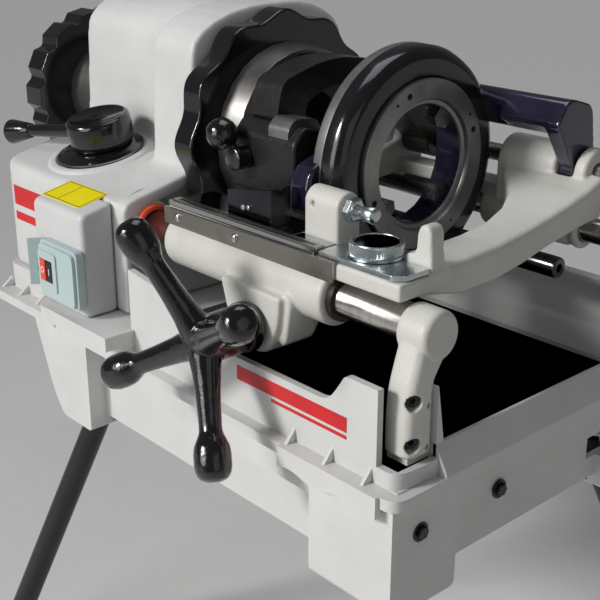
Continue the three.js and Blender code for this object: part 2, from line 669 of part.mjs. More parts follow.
// The front rail has the feed teeth cut along its underside.
function frontRail() {
  const { r, x0, x1 } = FRONT_RAIL;
  let rail = bar('x', 0, 0, r, x0, x1, 20);
  const pitchZ = HAND.z + FEED_MODULE * FEED_TEETH / 2;
  const gaps = 16;
  for (let i = 0; i < gaps; i += 1) {
    const x = HAND.x + (i - 5) * TOOTH_PITCH;
    const deep = pitchZ + 1.25 * FEED_MODULE;
    rail = rail.subtract(prism('y', [
      [deep, x - 0.13 * TOOTH_PITCH], [deep, x + 0.13 * TOOTH_PITCH],
      [-r - 1, x + 0.43 * TOOTH_PITCH], [-r - 1, x - 0.43 * TOOTH_PITCH],
    ], -13, 13));
  }
  return rail;
}

const PILLAR = { x0: 14, x1: 52, y0: -44, y1: -6, headX0: 12, headR: 27, bottom: -123, cornerR: 18 };

function frontPillar() {
  const { x0, x1, y0, y1, headX0, headR, bottom, cornerR } = PILLAR;
  const head = turned('x', 0, -3, [
    [headX0, 0], [headX0, headR - 3], [headX0 + 4, headR], [x1 - 5, headR], [x1, headR - 5], [x1, 0],
  ], 26);
  const neck = prism('x', [
    [-26, -6], [-34, -30], [-42, -60], [y0, -84], [y0, bottom + 2], [y1, bottom + 2], [y1, -52],
    [6, -34], [24, -14],
  ], x0, x1 - 1);
  const column = new THREE.Shape();
  column.moveTo(x0, y0);
  column.lineTo(x1 - cornerR, y0);
  column.absarc(x1 - cornerR, y0 + cornerR, cornerR, -Math.PI / 2, 0);
  column.lineTo(x1, y1);
  column.lineTo(x0, y1);
  const round = prism('z', column, bottom, headR);
  let body = join(head, neck.intersect(round));
  // two counterbores for bolts across the rounded corner, with a small hole behind each
  const facing = THREE.MathUtils.degToRad(-30);
  const fromCorner = (reach, z) => [
    x1 - cornerR + reach * Math.cos(facing), y0 + cornerR + reach * Math.sin(facing), z];
  for (const z of [-64, -110]) {
    body = cut(body,
      rod(fromCorner(4, z), fromCorner(cornerR + 9, z), 8.5, 8.5, 16),
      bar('x', -15, z - 7, 3, x1 - 12, x1 + 9, 10));
  }
  return cut(body, bar('x', 0, 0, FRONT_RAIL.r + RUNNING, headX0 - 1, FRONT_RAIL.x1 + 1, 20));
}

function rearRail() {
  const { y, z, r, x0, x1 } = REAR_RAIL;
  return bar('x', y, z, r, x0, x1, 18);
}

function rearPillar() {
  const { y, z, r } = REAR_RAIL;
  const head = bar('x', y, z, 26, 48, 68, 18);
  const leg = prism('x', [[y - 20, z], [y - 26, -116.6], [y + 19.6, -116.6], [y + 19.6, z]], 50, 66);
  return cut(join(head, leg), bar('x', y, z, r + RUNNING, 40, REAR_RAIL.x1 + 0.5, 16));
}

// ---------------------------------------------------------------- carriage
// The saddle arm in side view: it dips towards the middle and climbs to the rear pivot.
function armOutline(frontY) {
  const { y } = REAR_RAIL;
  const lower = [[frontY, 31], [85, 6], [141, 7], [185, 14], [228, 24], [285, 35], [y + 10, 38]];
  const upper = [[y - 28, 84], [262, 68], [222, 60], [164, 50], [110, 44.5], [frontY, DECK.z1 - 4]];
  return new THREE.Shape([...smooth(lower), ...smooth(upper)]);
}

function smooth(points) {
  return new THREE.SplineCurve(flatPoints(points)).getPoints(12);
}

// The right arm widens to the left as it reaches the rear barrel.
function rightArm() {
  const { y } = REAR_RAIL;
  const left = smooth([[-72, -30], [-58, 60], [-54, 190], [-84, 270], [BARREL.x0, y - 28]]);
  const right = flatPoints([[BARREL.x0, y + 20], [4, y + 20], [4, -30]]);
  const plan = new THREE.Shape([...left, ...right]);
  return prism('x', armOutline(-22), BARREL.x0, 4).intersect(prism('z', plan, -10, 100));
}

const BARREL = { x0: -142, r: 30 };

function rearKnuckle(x0, x1, r) {
  const { y, z } = PIVOT;
  const post = prism('x', [
    [y - r - 2, REAR_RAIL.z + 18], [y + r - 5, REAR_RAIL.z + 18], [y + r, z], [y - r, z],
  ], x0, x1);
  return join(post, bar('x', y, z, r, x0, x1, 20));
}

function carriageCasting() {
  const { x0, x1, r } = SLEEVE;
  const { y, z } = PIVOT;
  const sleeve = turned('x', 0, 0, [
    [x0, 0], [x0, r - 4], [x0 + 4, r], [x1 - 4, r], [x1, r - 3], [x1, 0],
  ], 20);
  const cheek = box(x0 + 6, x1 - 10, -23, 30, -12, DECK.z0 + 4);
  const deck = box(DECK.x0, DECK.x1, DECK.y0, DECK.y1, DECK.z0, DECK.z1 - 4);
  const leftArm = prism('x', armOutline(20), CARRIAGE_REAR_X0, CARRIAGE_REAR_X0 + 18);
  const railZ = REAR_RAIL.z;
  const rearSleeve = bar('x', y, railZ, 25, -170, -24, 18);
  const rearBridge = box(CARRIAGE_REAR_X0, -40, y - 18, y + 18, railZ + 18, railZ + 36);
  const saddle = box(BARREL.x0, -14, y - BARREL.r, y + BARREL.r - 5, railZ + 18, z - DIE_HUB.r - 1.5);
  const boss = prism('y', [
    [-6, -240], [-6, -138], [-40, -142], [-76, -158], [-80, -184], [-76, -214], [-52, -226],
  ], -46, 22);
  const rib = prism('y', [[0, -140], [-10, -128], [-60, -136], [-66, -146], [-40, -150]], -38, 4);
  let body = join(sleeve, cheek, deck, rightArm(), leftArm, rearSleeve, rearBridge, saddle, boss, rib,
    rearKnuckle(BARREL.x0, DIE_HUB.x0 - 1, BARREL.r), rearKnuckle(-32, -14, BARREL.r),
    rearKnuckle(CARRIAGE_REAR_X0, CARRIAGE_REAR_X0 + 18, 25), lugPost(), stopLug());
  const pinionR = FEED_MODULE * FEED_TEETH / 2 + FEED_MODULE + 1;
  return cut(body,
    bar('x', 0, 0, FRONT_RAIL.r + RUNNING, x0 - 5, x1 + 5, 20),
    bar('x', REAR_RAIL.y, REAR_RAIL.z, REAR_RAIL.r + RUNNING, DECK.x0 - 9, 10, 18),
    bar('x', y, z, PIVOT.r + GAP, DECK.x0 - 9, 10, 16),
    bar('x', y, z, DIE_HUB.r + RUNNING, DIE_HUB.x0 - GAP, DIE_HUB.x1 + GAP, 16),
    bar('y', HAND.z, HAND.x, 12 + RUNNING, -60, 60, 16),
    bar('y', HAND.z, HAND.x, pinionR, -14, 14, 20));
}

const LUG = { x0: -165, x1: -112, y: 32, r: 18 };
const SCREW_Z = 85;
const SCREW_R = 6;

// A block that carries the stop screw, with a round top about the screw's axis.
function lugPost() {
  const { x0, x1, y, r } = LUG;
  const shape = new THREE.Shape();
  shape.moveTo(y - r, DECK.z0 + 6);
  shape.lineTo(y + r, DECK.z0 + 6);
  shape.lineTo(y + r, SCREW_Z);
  shape.absarc(y, SCREW_Z, r, 0, Math.PI);
  return cut(prism('x', shape, x0, x1),
    bar('x', y, SCREW_Z, SCREW_R + GAP, x0 - 5, x1 + 5, 12),
    bar('y', SCREW_Z, x0 + 13, 3, y - r - 1, y - r + 6, 10));
}

// The L-shaped stop lug at the right front corner of the deck.
function stopLug() {
  return prism('y', [
    [DECK.z0 + 6, -24], [60, -24], [60, -14], [66, -10], [88, -8],
    [94, -3], [94, 5], [88, 10], [DECK.z0 + 6, 14],
  ], 24, 44);
}

function stopScrew() {
  const tip = LUG.x0 - 14;
  const head = LUG.x1 + 22;
  return turned('x', LUG.y, SCREW_Z, [
    [tip, 0], [tip, 2], [tip + 9, SCREW_R], [head, SCREW_R], [head, 9],
    [head + 16, 9], [head + 18, 7], [head + 18, 0],
  ], 12);
}

function stopNut() {
  const hexagon = bar('x', LUG.y, SCREW_Z, 14, LUG.x1 + GAP, LUG.x1 + 11, 6);
  return cut(hexagon, bar('x', LUG.y, SCREW_Z, SCREW_R + GAP, LUG.x1 - 1, LUG.x1 + 14, 12));
}

function frontStrip() {
  return prism('y', [[25, -367], [45, -367], [48, -75], [25, -75]], DECK.y0 - 4 - GAP, DECK.y0 - GAP);
}

// The top plate has a folded slot along its front edge where the scale slides.
function topPlate() {
  const z = DECK.z1 - 4 + GAP;
  const plate = box(-364, LUG.x0 - GAP, DECK.y0 + 8, 44, z, z + 4);
  const front = box(-364, LUG.x1, DECK.y0 + 1, LUG.y - LUG.r - 1, z, z + 4);
  return join(plate, front);
}

// A long strip with a slot down its middle.
function guideStrip() {
  const z = DECK.z1 + 2 * GAP;
  const y = DECK.y0 + 2;
  return cut(box(-358, -106, y, y + 12, z, z + 4), box(-350, -114, y + 4.5, y + 7.5, z - 1, z + 5));
}

function knobPlate() {
  const z = DECK.z1 - 4 + GAP;
  const outline = [[-104, -22], [2, -22], [12, -12], [12, 22], [-26, 22], [-26, 50], [-104, 50]];
  return prism('z', outline, z, z + 6);
}

const KNOB = { x: -54, y: 14, r: 29 };

function knurledKnob() {
  const z = DECK.z1 + 2 + 2 * GAP;
  const { x, y, r } = KNOB;
  return turned('z', x, y, [
    [z, 0], [z, r + 2], [z + 3, r + 2], [z + 3, r], [z + 15, r], [z + 15, r - 5], [z + 9, r - 6], [z + 9, 0],
  ], 30);
}

// A folded sheet: its front rises to the right, and its right end turns back.
function cutterBracket() {
  const z = DECK.z1 + 2 * GAP;
  const front = prism('y', [[z, -274], [z + 30, -274], [z + 43, -198], [z, -198]], -5, -2);
  return join(front, box(-201, -198, -3, 24, z, z + 43));
}

function pivotShaft() {
  return bar('x', PIVOT.y, PIVOT.z, PIVOT.r, CARRIAGE_REAR_X0 - 3, -11, 16);
}

function railBush() {
  return tubeRing('x', 0, 0, 26, FRONT_RAIL.r + RUNNING, SLEEVE.x1 + GAP, SLEEVE.x1 + 8, 20);
}

// ---------------------------------------------------------------- handwheel
function pinionShaft() {
  const teeth = gearShape(FEED_MODULE, FEED_TEETH, 0, HAND.z, HAND.x);
  return join(prism('y', teeth, -11, 11), bar('y', HAND.z, HAND.x, 12, HAND.hubY + 8, 21, 14));
}

function armTip(index, y, radius) {
  const angle = THREE.MathUtils.degToRad(HAND.firstArm + index * 360 / HAND.arms);
  return [HAND.x + radius * Math.cos(angle), y, HAND.z + radius * Math.sin(angle)];
}

// Four arms lean forward from the hub and end in long round knobs.
function handwheel() {
  const { hubY, ballY, ballR, arms } = HAND;
  const hub = turned('y', HAND.z, HAND.x, [
    [hubY - 18, 0], [hubY - 14, 21], [hubY + 4, 27], [-66, 27], [-62, 29], [-49, 29], [-49, 0],
  ], 20);
  const pieces = [hub];
  const reach = ballR + 24;
  const lean = (ballY - hubY) / ballR;
  for (let i = 0; i < arms; i += 1) {
    pieces.push(turnedBetween(armTip(i, hubY, 4), armTip(i, hubY + lean * reach, reach), [
      [0, 0], [0, 18], [0.3, 15], [0.6, 12.5], [0.68, 14],
      [0.75, 19.5], [0.91, 20.5], [0.97, 15], [1, 7], [1, 0],
    ], 12));
  }
  return cut(join(...pieces), bar('y', HAND.z, HAND.x, 12 + GAP, hubY + 6, -40, 14));
}

// ---------------------------------------------------------------- die head
function dieHeadBody() {
  const { y, z } = SPINDLE;
  const { x0, x1, rOuter, rFace } = DIE;
  const ring = turned('x', y, z, [
    [x0, rFace + 4], [x0, rOuter - 6], [x0 + 5, rOuter], [x1 - 14, rOuter], [x1 - 2, rOuter - 12],
    [x1 - 2, rFace + GAP], [x0 + 8, rFace + GAP], [x0 + 8, rFace + 4], [x0, rFace + 4],
  ], 34);
  const hub = bar('x', PIVOT.y, PIVOT.z, DIE_HUB.r - 1, DIE_HUB.x0, DIE_HUB.x1, 16);
  // the arm rises from the pivot hub, crosses above the rear barrel and runs down into the ring
  const atPivot = (points) => points.map(([dy, dz]) => [PIVOT.y + dy, PIVOT.z + dz]);
  const riserOutline = atPivot([[-20, 0], [20, 0], [6, 78], [-42, 92], [-60, 60]]);
  const bridgeOutline = atPivot([[-62, 60], [-30, 42], [-6, 60], [-20, 84], [-42, 92]]);
  const riser = prism('x', riserOutline, DIE_HUB.x0 + 1, DIE_HUB.x1 - 1);
  const bridge = prism('x', bridgeOutline, x0 + 6, DIE_HUB.x1 - 1);
  const hookY = y - rOuter;
  const hook = prism('x', [
    [hookY + 26, z + 26], [hookY - 10, z + 14], [hookY - 18, z - 6],
    [hookY - 18, z - 40], [hookY + 2, z - 44], [hookY + 30, z - 30],
  ], x0 - 14, x0 + 16);
  const hollow = bar('x', y, z, rFace + 4 + GAP, x0 - 20, x1 + 20, 34);
  const pivotBore = bar('x', PIVOT.y, PIVOT.z, PIVOT.r + RUNNING, -80, 0, 16);
  return cut(join(ring, cut(join(hook, bridge), hollow), riser, hub), pivotBore);
}

// The ring behind the face: turning it by its short handle moves the chasers in and out.
function camRing() {
  const { y, z } = SPINDLE;
  const { x0, rFace } = DIE;
  const ring = tubeRing('x', y, z, rFace + 3, 76, x0, x0 + 7.4, 24);
  const handle = rod([x0 - 8, y, z + 92], [x0 - 9, y, z + 132], 5, 5.5, 8);
  const root = box(x0 - 13, x0 + 4, y - 7, y + 7, z + 84, z + 100);
  return join(ring, turnAboutX(join(handle, root), y, z, THREE.MathUtils.degToRad(-10)));
}

const CHASERS = 4;

function dieHeadFace() {
  const { y, z } = SPINDLE;
  const { x0, x1, rFace, rBore } = DIE;
  const back = x0 + 8 + GAP;
  let face = turned('x', y, z, [
    [back, rBore], [back, rFace], [x1 + 4, rFace], [x1 + 4, rBore + 3], [x1 - 4, rBore], [back, rBore],
  ], 34);
  for (let i = 0; i < CHASERS; i += 1) {
    const slot = box(x0 + 16 - GAP, x0 + 34 + GAP, y - 13 - GAP, y + 13 + GAP, z + 50, z + 92);
    face = face.subtract(turnAboutX(slot, y, z, Math.PI / 4 + i * Math.PI / 2));
    const hole = bar('x', y, z + 86, 4, x1 - 8, x1 + 6, 10);
    face = face.subtract(turnAboutX(hole, y, z, 0.35 + i * Math.PI / 2));
  }
  return face;
}

function chaser(index) {
  const { y, z } = SPINDLE;
  const outline = [[y - 13, z + 86], [y - 13, z + 58], [y - 4, z + 52], [y + 13, z + 60], [y + 13, z + 86]];
  const blade = prism('x', outline, DIE.x0 + 16, DIE.x0 + 34);
  return turnAboutX(blade, y, z, Math.PI / 4 + index * Math.PI / 2);
}

// ---------------------------------------------------------------- cutter and reamer
const CUTTER = { x0: -322, x1: -214, hubX0: CARRIAGE_REAR_X0 + 19, hubX1: -262 };

function cutterFrame() {
  const { y, z } = SPINDLE;
  const { x0, x1, hubX0, hubX1 } = CUTTER;
  const body = prism('x', [
    [44, z - 34], [44, z + 34], [60, z + 52], [110, z + 40], [118, z - 30], [86, z - 48],
  ], x0, x1);
  const overArm = prism('x', [
    [60, z + 52], [70, z + 96], [150, z + 118], [250, z + 100],
    [PIVOT.y + 10, z + 40], [PIVOT.y + 22, PIVOT.z],
    [PIVOT.y - 22, PIVOT.z], [240, z + 66], [150, z + 86], [104, z + 66], [108, z + 38],
  ], hubX0, hubX1);
  const hub = bar('x', PIVOT.y, PIVOT.z, 24, hubX0, hubX1, 16);
  return cut(join(body, overArm, hub),
    bar('x', PIVOT.y, PIVOT.z, PIVOT.r + RUNNING, x0 - 5, x1 + 5, 16),
    bar('y', SCREW_AXIS.z, SCREW_AXIS.x, 9 + RUNNING, 30, 130, 14));
}

const SCREW_AXIS = { x: -300, z: SPINDLE.z + 6 };

// The feed screw of the cutter with its cranked ball handle.
function cutterScrew() {
  const { x, z } = SCREW_AXIS;
  const screw = turned('y', z, x, [[22, 0], [22, 14], [43.6, 14], [43.6, 9], [124, 9], [124, 0]], 14);
  return join(screw, rod([x, 32, z], [x - 15, 25, z + 28], 7, 6, 12), ball(x - 17, 23, z + 34, 19.5, 16));
}

function cutterWheel() {
  const z = SPINDLE.z - 14;
  const hole = 5 + RUNNING;
  return turned('x', 150, z, [
    [-252, hole], [-252, 14], [-246, 14], [-243, 24], [-240, 14], [-234, 14], [-234, hole], [-252, hole],
  ], 18);
}

function cutterFork() {
  const z = SPINDLE.z - 14;
  const leftProng = box(-262, -254, 118.4, 166, z - 12, z + 12);
  const rightProng = box(-232, -224, 118.4, 166, z - 12, z + 12);
  const back = box(-262, -224, 118.4, 124, z - 12, z + 12);
  return join(leftProng, rightProng, back, bar('x', 150, z, 5, -258, -228, 12));
}

// ---------------------------------------------------------------- oil pipe, seals and gland
function oilPipe() {
  const y = 310;
  const z = -27;
  const x1 = -34;
  return cut(bar('x', y, z, 13.5, HEAD.x1 + GAP, x1, 16), bar('x', y, z, 5, x1 - 25, x1 + 1, 12));
}

function railSeal() {
  return tubeRing('x', 0, 0, 27, FRONT_RAIL.r + RUNNING, HEAD.x1 + GAP, HEAD.x1 + 9, 18);
}

function cableGland() {
  const x = HEAD.x0;
  return turned('x', 120, -60, [
    [x - 24, 0], [x - 24, 8], [x - 8, 11], [x - 8, 14], [x - GAP, 14], [x - GAP, 0],
  ], 12);
}

// ---------------------------------------------------------------- assembly
part('bed_casting', bedCasting(), PAINT);
part('chip_tray', chipTray(), DARK_IRON);
legs();
part('headstock_casting', headstock(), PAINT);
part('lever_flange', leverFlange(), SHINY_BLACK);
part('speed_lever', speedLever(), SHINY_BLACK);
part('lever_knob', leverKnob(), SHINY_BLACK);
part('switch_box', switchBox(), PAINT);
part('switch_housing', switchHousing(), SWITCH_BLUE);
part('stop_button', button(BUTTON.red), BUTTON_RED);
part('start_button', button(BUTTON.black), BUTTON_BLACK);
part('cable_gland', cableGland(), RUBBER);
part('motor_body', motorBody(), PAINT);
part('fan_cover', fanCover(), DARK_IRON);
part('spindle', join(spindleTube(), chuckNose()), CAST_STEEL);
part('spindle_gear', spindleGear(), CAST_STEEL);
part('layshaft', layshaft(), CAST_STEEL);
part('motor_shaft', motorPinion(), CAST_STEEL);
part('hammer_wheel', hammerWheel(), DARK_IRON);
for (let i = 0; i < 3; i += 1) {
  part(`chuck_jaw_${i + 1}`, chuckJaw(i), CAST_STEEL);
  part(`rear_jaw_${i + 1}`, rearJaw(i), CAST_STEEL);
}
part('rear_chuck_wheel', rearChuckWheel(), SHINY_BLACK);
part('front_rail', frontRail(), GROUND_STEEL);
part('rear_rail', rearRail(), GROUND_STEEL);
part('front_pillar', frontPillar(), PAINT);
part('rear_pillar', rearPillar(), PAINT);
part('rail_seal', railSeal(), SEAL_RED);
part('oil_pipe', oilPipe(), ZINC);
part('carriage_casting', carriageCasting(), PAINT);
part('rail_bush', railBush(), BRONZE);
part('front_strip', frontStrip(), STAINLESS);
part('top_plate', topPlate(), STAINLESS);
part('guide_strip', guideStrip(), STAINLESS);
part('knob_plate', knobPlate(), ZINC);
part('knurled_knob', knurledKnob(), ZINC);
part('stop_screw', stopScrew(), ZINC);
part('stop_nut', stopNut(), ZINC);
part('cutter_bracket', cutterBracket(), STAINLESS);
part('pivot_shaft', pivotShaft(), GROUND_STEEL);
part('pinion_shaft', pinionShaft(), CAST_STEEL);
part('handwheel', handwheel(), SHINY_BLACK);
part('die_head_body', dieHeadBody(), SHINY_BLACK);
part('die_head_face', dieHeadFace(), CAST_STEEL);
part('cam_ring', camRing(), DARK_IRON);
for (let i = 0; i < CHASERS; i += 1) {
  part(`chaser_${i + 1}`, chaser(i), CAST_STEEL);
}
part('cutter_frame', cutterFrame(), DARK_IRON);
part('cutter_screw', cutterScrew(), DARK_IRON);
part('cutter_fork', cutterFork(), DARK_IRON);
part('cutter_wheel', cutterWheel(), CAST_STEEL);

// ---------------------------------------------------------------- origin on the floor, centred
const extent = new THREE.Box3().setFromObject(machine);
const middle = extent.getCenter(new THREE.Vector3());
machine.position.set(-middle.x, -middle.y, -extent.min.z);
machine.updateMatrixWorld(true);

export default machine;
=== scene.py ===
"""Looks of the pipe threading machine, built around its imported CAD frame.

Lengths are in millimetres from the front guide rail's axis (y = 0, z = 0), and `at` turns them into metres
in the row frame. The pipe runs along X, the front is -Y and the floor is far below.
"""

import json
import math

import bmesh
import bpy
from mathutils import Matrix, Vector


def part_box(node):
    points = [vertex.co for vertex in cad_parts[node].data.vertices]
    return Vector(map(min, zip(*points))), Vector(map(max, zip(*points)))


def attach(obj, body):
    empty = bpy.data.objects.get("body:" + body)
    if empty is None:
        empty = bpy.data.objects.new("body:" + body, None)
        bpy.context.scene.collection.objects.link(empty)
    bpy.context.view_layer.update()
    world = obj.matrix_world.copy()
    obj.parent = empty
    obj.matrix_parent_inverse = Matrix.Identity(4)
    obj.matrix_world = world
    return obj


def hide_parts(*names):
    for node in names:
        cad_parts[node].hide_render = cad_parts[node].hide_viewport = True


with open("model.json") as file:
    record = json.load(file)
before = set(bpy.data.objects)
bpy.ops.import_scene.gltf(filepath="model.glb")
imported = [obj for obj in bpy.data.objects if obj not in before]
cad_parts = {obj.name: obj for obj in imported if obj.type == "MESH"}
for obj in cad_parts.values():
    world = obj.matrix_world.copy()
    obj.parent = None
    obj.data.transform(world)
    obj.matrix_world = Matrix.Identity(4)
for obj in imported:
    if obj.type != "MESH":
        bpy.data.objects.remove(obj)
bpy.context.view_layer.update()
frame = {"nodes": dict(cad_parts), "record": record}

MM = 0.001
RAIL_LEFT_END = -446
rail_low, rail_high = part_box("front_rail")
ORIGIN = Vector((
    rail_low.x - RAIL_LEFT_END * MM,
    (rail_low.y + rail_high.y) / 2,
    (rail_low.z + rail_high.z) / 2,
))

# ---------------------------------------------------------------- places shared with the frame
SPINDLE_Y, SPINDLE_Z = 188, 99
REAR_RAIL_Y, REAR_RAIL_Z, REAR_RAIL_R = 345, 17.5, 15
PIVOT_Y, PIVOT_Z = 345, 87
RAIL_R = 20
TOP_SLOPE = math.radians(12.5)
HEAD_LEFT, HEAD_RIGHT, HEAD_FRONT, HEAD_BACK = -750, -436, -42, 392
PLATFORM_TOP = -114
BOX_LEFT, BOX_RIGHT, BOX_FRONT, BOX_TOP = -577, -459, -90, 33
LEVER_X, LEVER_Y, LEVER_SWEPT = -614, 50, math.radians(14)
DISC_X, DISC_Y = LEVER_X - 7, -3
DIE_LEFT, DIE_RIGHT = -196, -150
HAND_X, HAND_Z, HAND_HUB_Y, HAND_TIP_Y, HAND_TIP_R = -184, -48, -112, -150, 120.7


def at(x, y, z):
    """The point in the row frame, in metres."""
    return ORIGIN + Vector((x, y, z)) * MM


# ---------------------------------------------------------------- node materials
def surface(name, colours, roughness, metallic=0.0, blotch=14.0, grain=900.0, grain_depth=0.15, wave=0.0,
            wave_depth=0.0, stretch=(1, 1, 1), coat=0.0, stain_and_sheen=None, stain_and_sheen_scale=9.0, stain_and_sheen_share=0.35):
    """A procedural material. Scales are in cycles per metre, and depths in millimetres."""
    material = bpy.data.materials.new(name)
    material.use_nodes = True
    nodes, links = material.node_tree.nodes, material.node_tree.links
    shader = nodes["Principled BSDF"]
    shader.inputs["Metallic"].default_value = metallic
    shader.inputs["Coat Weight"].default_value = coat
    shader.inputs["Coat Roughness"].default_value = 0.06
    place = nodes.new("ShaderNodeTexCoord").outputs["Object"]
    mapping = nodes.new("ShaderNodeMapping")
    mapping.inputs["Scale"].default_value = stretch
    links.new(place, mapping.inputs["Vector"])

    def noise(scale, detail, source=mapping.outputs["Vector"]):
        texture = nodes.new("ShaderNodeTexNoise")
        texture.inputs["Scale"].default_value = scale
        texture.inputs["Detail"].default_value = detail
        links.new(source, texture.inputs["Vector"])
        return texture.outputs["Fac"]

    def ramp(source, stops):
        node = nodes.new("ShaderNodeValToRGB")
        elements = node.color_ramp.elements
        while len(elements) < len(stops):
            elements.new(0.5)
        for element, (position, colour) in zip(elements, stops):
            element.position = position
            element.color = (*colour, 1)
        links.new(source, node.inputs["Fac"])
        return node.outputs["Color"]

    colour = ramp(noise(blotch, 4), [(0.3, colours[0]), (0.7, colours[1])])
    # The second colour mixed in by this mask is a real stain on most materials and a painted reflection on
    # the pan_black material.
    if stain_and_sheen:
        mask = ramp(noise(stain_and_sheen_scale, 6, place), [(1 - stain_and_sheen_share, (0, 0, 0)),
            (min(1, 1.25 - stain_and_sheen_share), (1, 1, 1))])
        mix = nodes.new("ShaderNodeMix")
        mix.data_type = "RGBA"
        links.new(mask, mix.inputs["Factor"])
        links.new(colour, mix.inputs["A"])
        mix.inputs["B"].default_value = (*stain_and_sheen, 1)
        colour = mix.outputs["Result"]
    links.new(colour, shader.inputs["Base Color"])
    rough = nodes.new("ShaderNodeMapRange")
    rough.inputs["To Min"].default_value = roughness[0]
    rough.inputs["To Max"].default_value = roughness[1]
    links.new(noise(blotch * 6, 5), rough.inputs["Value"])
    links.new(rough.outputs["Result"], shader.inputs["Roughness"])
    bump = nodes.new("ShaderNodeBump")
    bump.inputs["Distance"].default_value = grain_depth * MM
    links.new(noise(grain, 3), bump.inputs["Height"])
    if wave:
        swell = nodes.new("ShaderNodeBump")
        swell.inputs["Distance"].default_value = wave_depth * MM
        links.new(noise(wave, 2), swell.inputs["Height"])
        links.new(swell.outputs["Normal"], bump.inputs["Normal"])
    links.new(bump.outputs["Normal"], shader.inputs["Normal"])
    return material


PAINT = surface("cast_paint", [(0.60, 0.60, 0.59), (0.66, 0.66, 0.65)], (0.38, 0.5), grain=520,
                grain_depth=0.35, wave=45, wave_depth=0.5, stain_and_sheen=(0.50, 0.48, 0.45), stain_and_sheen_share=0.36)
WARM_PAINT = surface("warm_paint", [(0.58, 0.575, 0.53), (0.65, 0.64, 0.60)], (0.36, 0.5), grain=420,
                     grain_depth=0.45, wave=45, wave_depth=0.5, stain_and_sheen=(0.44, 0.41, 0.34), stain_and_sheen_share=0.36)
SHEET_PAINT = surface("sheet_paint", [(0.58, 0.585, 0.58), (0.63, 0.635, 0.63)], (0.38, 0.46), grain=800,
                      grain_depth=0.06, stain_and_sheen=(0.50, 0.49, 0.47), stain_and_sheen_share=0.3)
ENAMEL = surface("black_enamel", [(0.004, 0.004, 0.005), (0.008, 0.008, 0.010)], (0.06, 0.14), grain=330,
                 grain_depth=0.35, wave=80, wave_depth=0.7, coat=0.6)
GLOSS_BLACK = surface("gloss_black", [(0.005, 0.005, 0.006), (0.010, 0.010, 0.012)], (0.10, 0.18), grain=700,
                      grain_depth=0.08, wave=30, wave_depth=0.3, coat=0.4)
OILY_IRON = surface("oily_iron", [(0.010, 0.010, 0.013), (0.024, 0.023, 0.026)], (0.2, 0.4), metallic=0.2,
                    grain=420, grain_depth=0.3, wave=60, wave_depth=0.6, stain_and_sheen=(0.030, 0.026, 0.014),
                    stain_and_sheen_share=0.4)
TUBE_BLACK = surface("tube_black", [(0.008, 0.008, 0.008), (0.012, 0.012, 0.012)], (0.3, 0.42), grain=900,
                     grain_depth=0.1)
GROUND = surface("ground_steel", [(0.42, 0.40, 0.37), (0.56, 0.54, 0.51)], (0.16, 0.3), metallic=1.0,
                 blotch=30, grain=260, grain_depth=0.03, stretch=(9, 1, 1), stain_and_sheen=(0.30, 0.25, 0.19),
                 stain_and_sheen_share=0.4)
STAINLESS = surface("stainless", [(0.30, 0.28, 0.25), (0.42, 0.40, 0.36)], (0.24, 0.42), metallic=1.0,
                    blotch=24, grain=900, grain_depth=0.03, stretch=(0.2, 1, 1), stain_and_sheen=(0.20, 0.17, 0.13),
                    stain_and_sheen_scale=18, stain_and_sheen_share=0.42)
BRIGHT_PLATE = surface("bright_plate", [(0.50, 0.51, 0.52), (0.62, 0.63, 0.64)], (0.06, 0.2), metallic=1.0,
                       grain=600, grain_depth=0.02, stretch=(0.3, 1, 1))
PIPE_STEEL = surface("pipe_steel", [(0.10, 0.105, 0.12), (0.20, 0.21, 0.22)], (0.12, 0.26), metallic=1.0,
                     grain=500, grain_depth=0.05, stain_and_sheen=(0.05, 0.05, 0.07), stain_and_sheen_share=0.4)
DARK_SHEET = surface("dark_sheet", [(0.055, 0.055, 0.065), (0.10, 0.10, 0.115)], (0.08, 0.22), metallic=1.0,
                     grain=500, grain_depth=0.02, stain_and_sheen=(0.19, 0.19, 0.21), stain_and_sheen_scale=30, stain_and_sheen_share=0.4)
MIRROR = surface("mirror_plate", [(0.34, 0.35, 0.37), (0.50, 0.51, 0.54)], (0.03, 0.1), metallic=1.0,
                 grain=300, grain_depth=0.01, stain_and_sheen=(0.10, 0.09, 0.14), stain_and_sheen_scale=10, stain_and_sheen_share=0.4)
ZINC = surface("zinc", [(0.48, 0.53, 0.55), (0.64, 0.68, 0.69)], (0.2, 0.38), metallic=1.0, blotch=60,
               grain=500, grain_depth=0.05, stain_and_sheen=(0.42, 0.45, 0.38), stain_and_sheen_scale=24, stain_and_sheen_share=0.35)
FACE_STEEL = surface("face_steel", [(0.24, 0.24, 0.24), (0.33, 0.33, 0.325)], (0.3, 0.45), metallic=0.85,
                     blotch=40, grain=700, grain_depth=0.05, stain_and_sheen=(0.16, 0.15, 0.15), stain_and_sheen_scale=20,
                     stain_and_sheen_share=0.35)
OILED_STEEL = surface("oiled_steel", [(0.13, 0.115, 0.14), (0.24, 0.22, 0.25)], (0.16, 0.4), metallic=0.8,
                      blotch=45, grain=420, grain_depth=0.15, stain_and_sheen=(0.035, 0.028, 0.075), stain_and_sheen_scale=24,
                      stain_and_sheen_share=0.45)
PURPLE_OIL = surface("oil_film", [(0.006, 0.005, 0.012), (0.022, 0.017, 0.050)], (0.06, 0.22), blotch=20,
                     grain=500, grain_depth=0.08, wave=35, wave_depth=0.4, coat=0.8)
CAST_STEEL = surface("machined_steel", [(0.22, 0.21, 0.20), (0.32, 0.31, 0.30)], (0.28, 0.42), metallic=0.9,
                     grain=500, grain_depth=0.08)
RUBBER = surface("rubber", [(0.012, 0.012, 0.012), (0.02, 0.02, 0.02)], (0.6, 0.8), grain=900,
                 grain_depth=0.1)
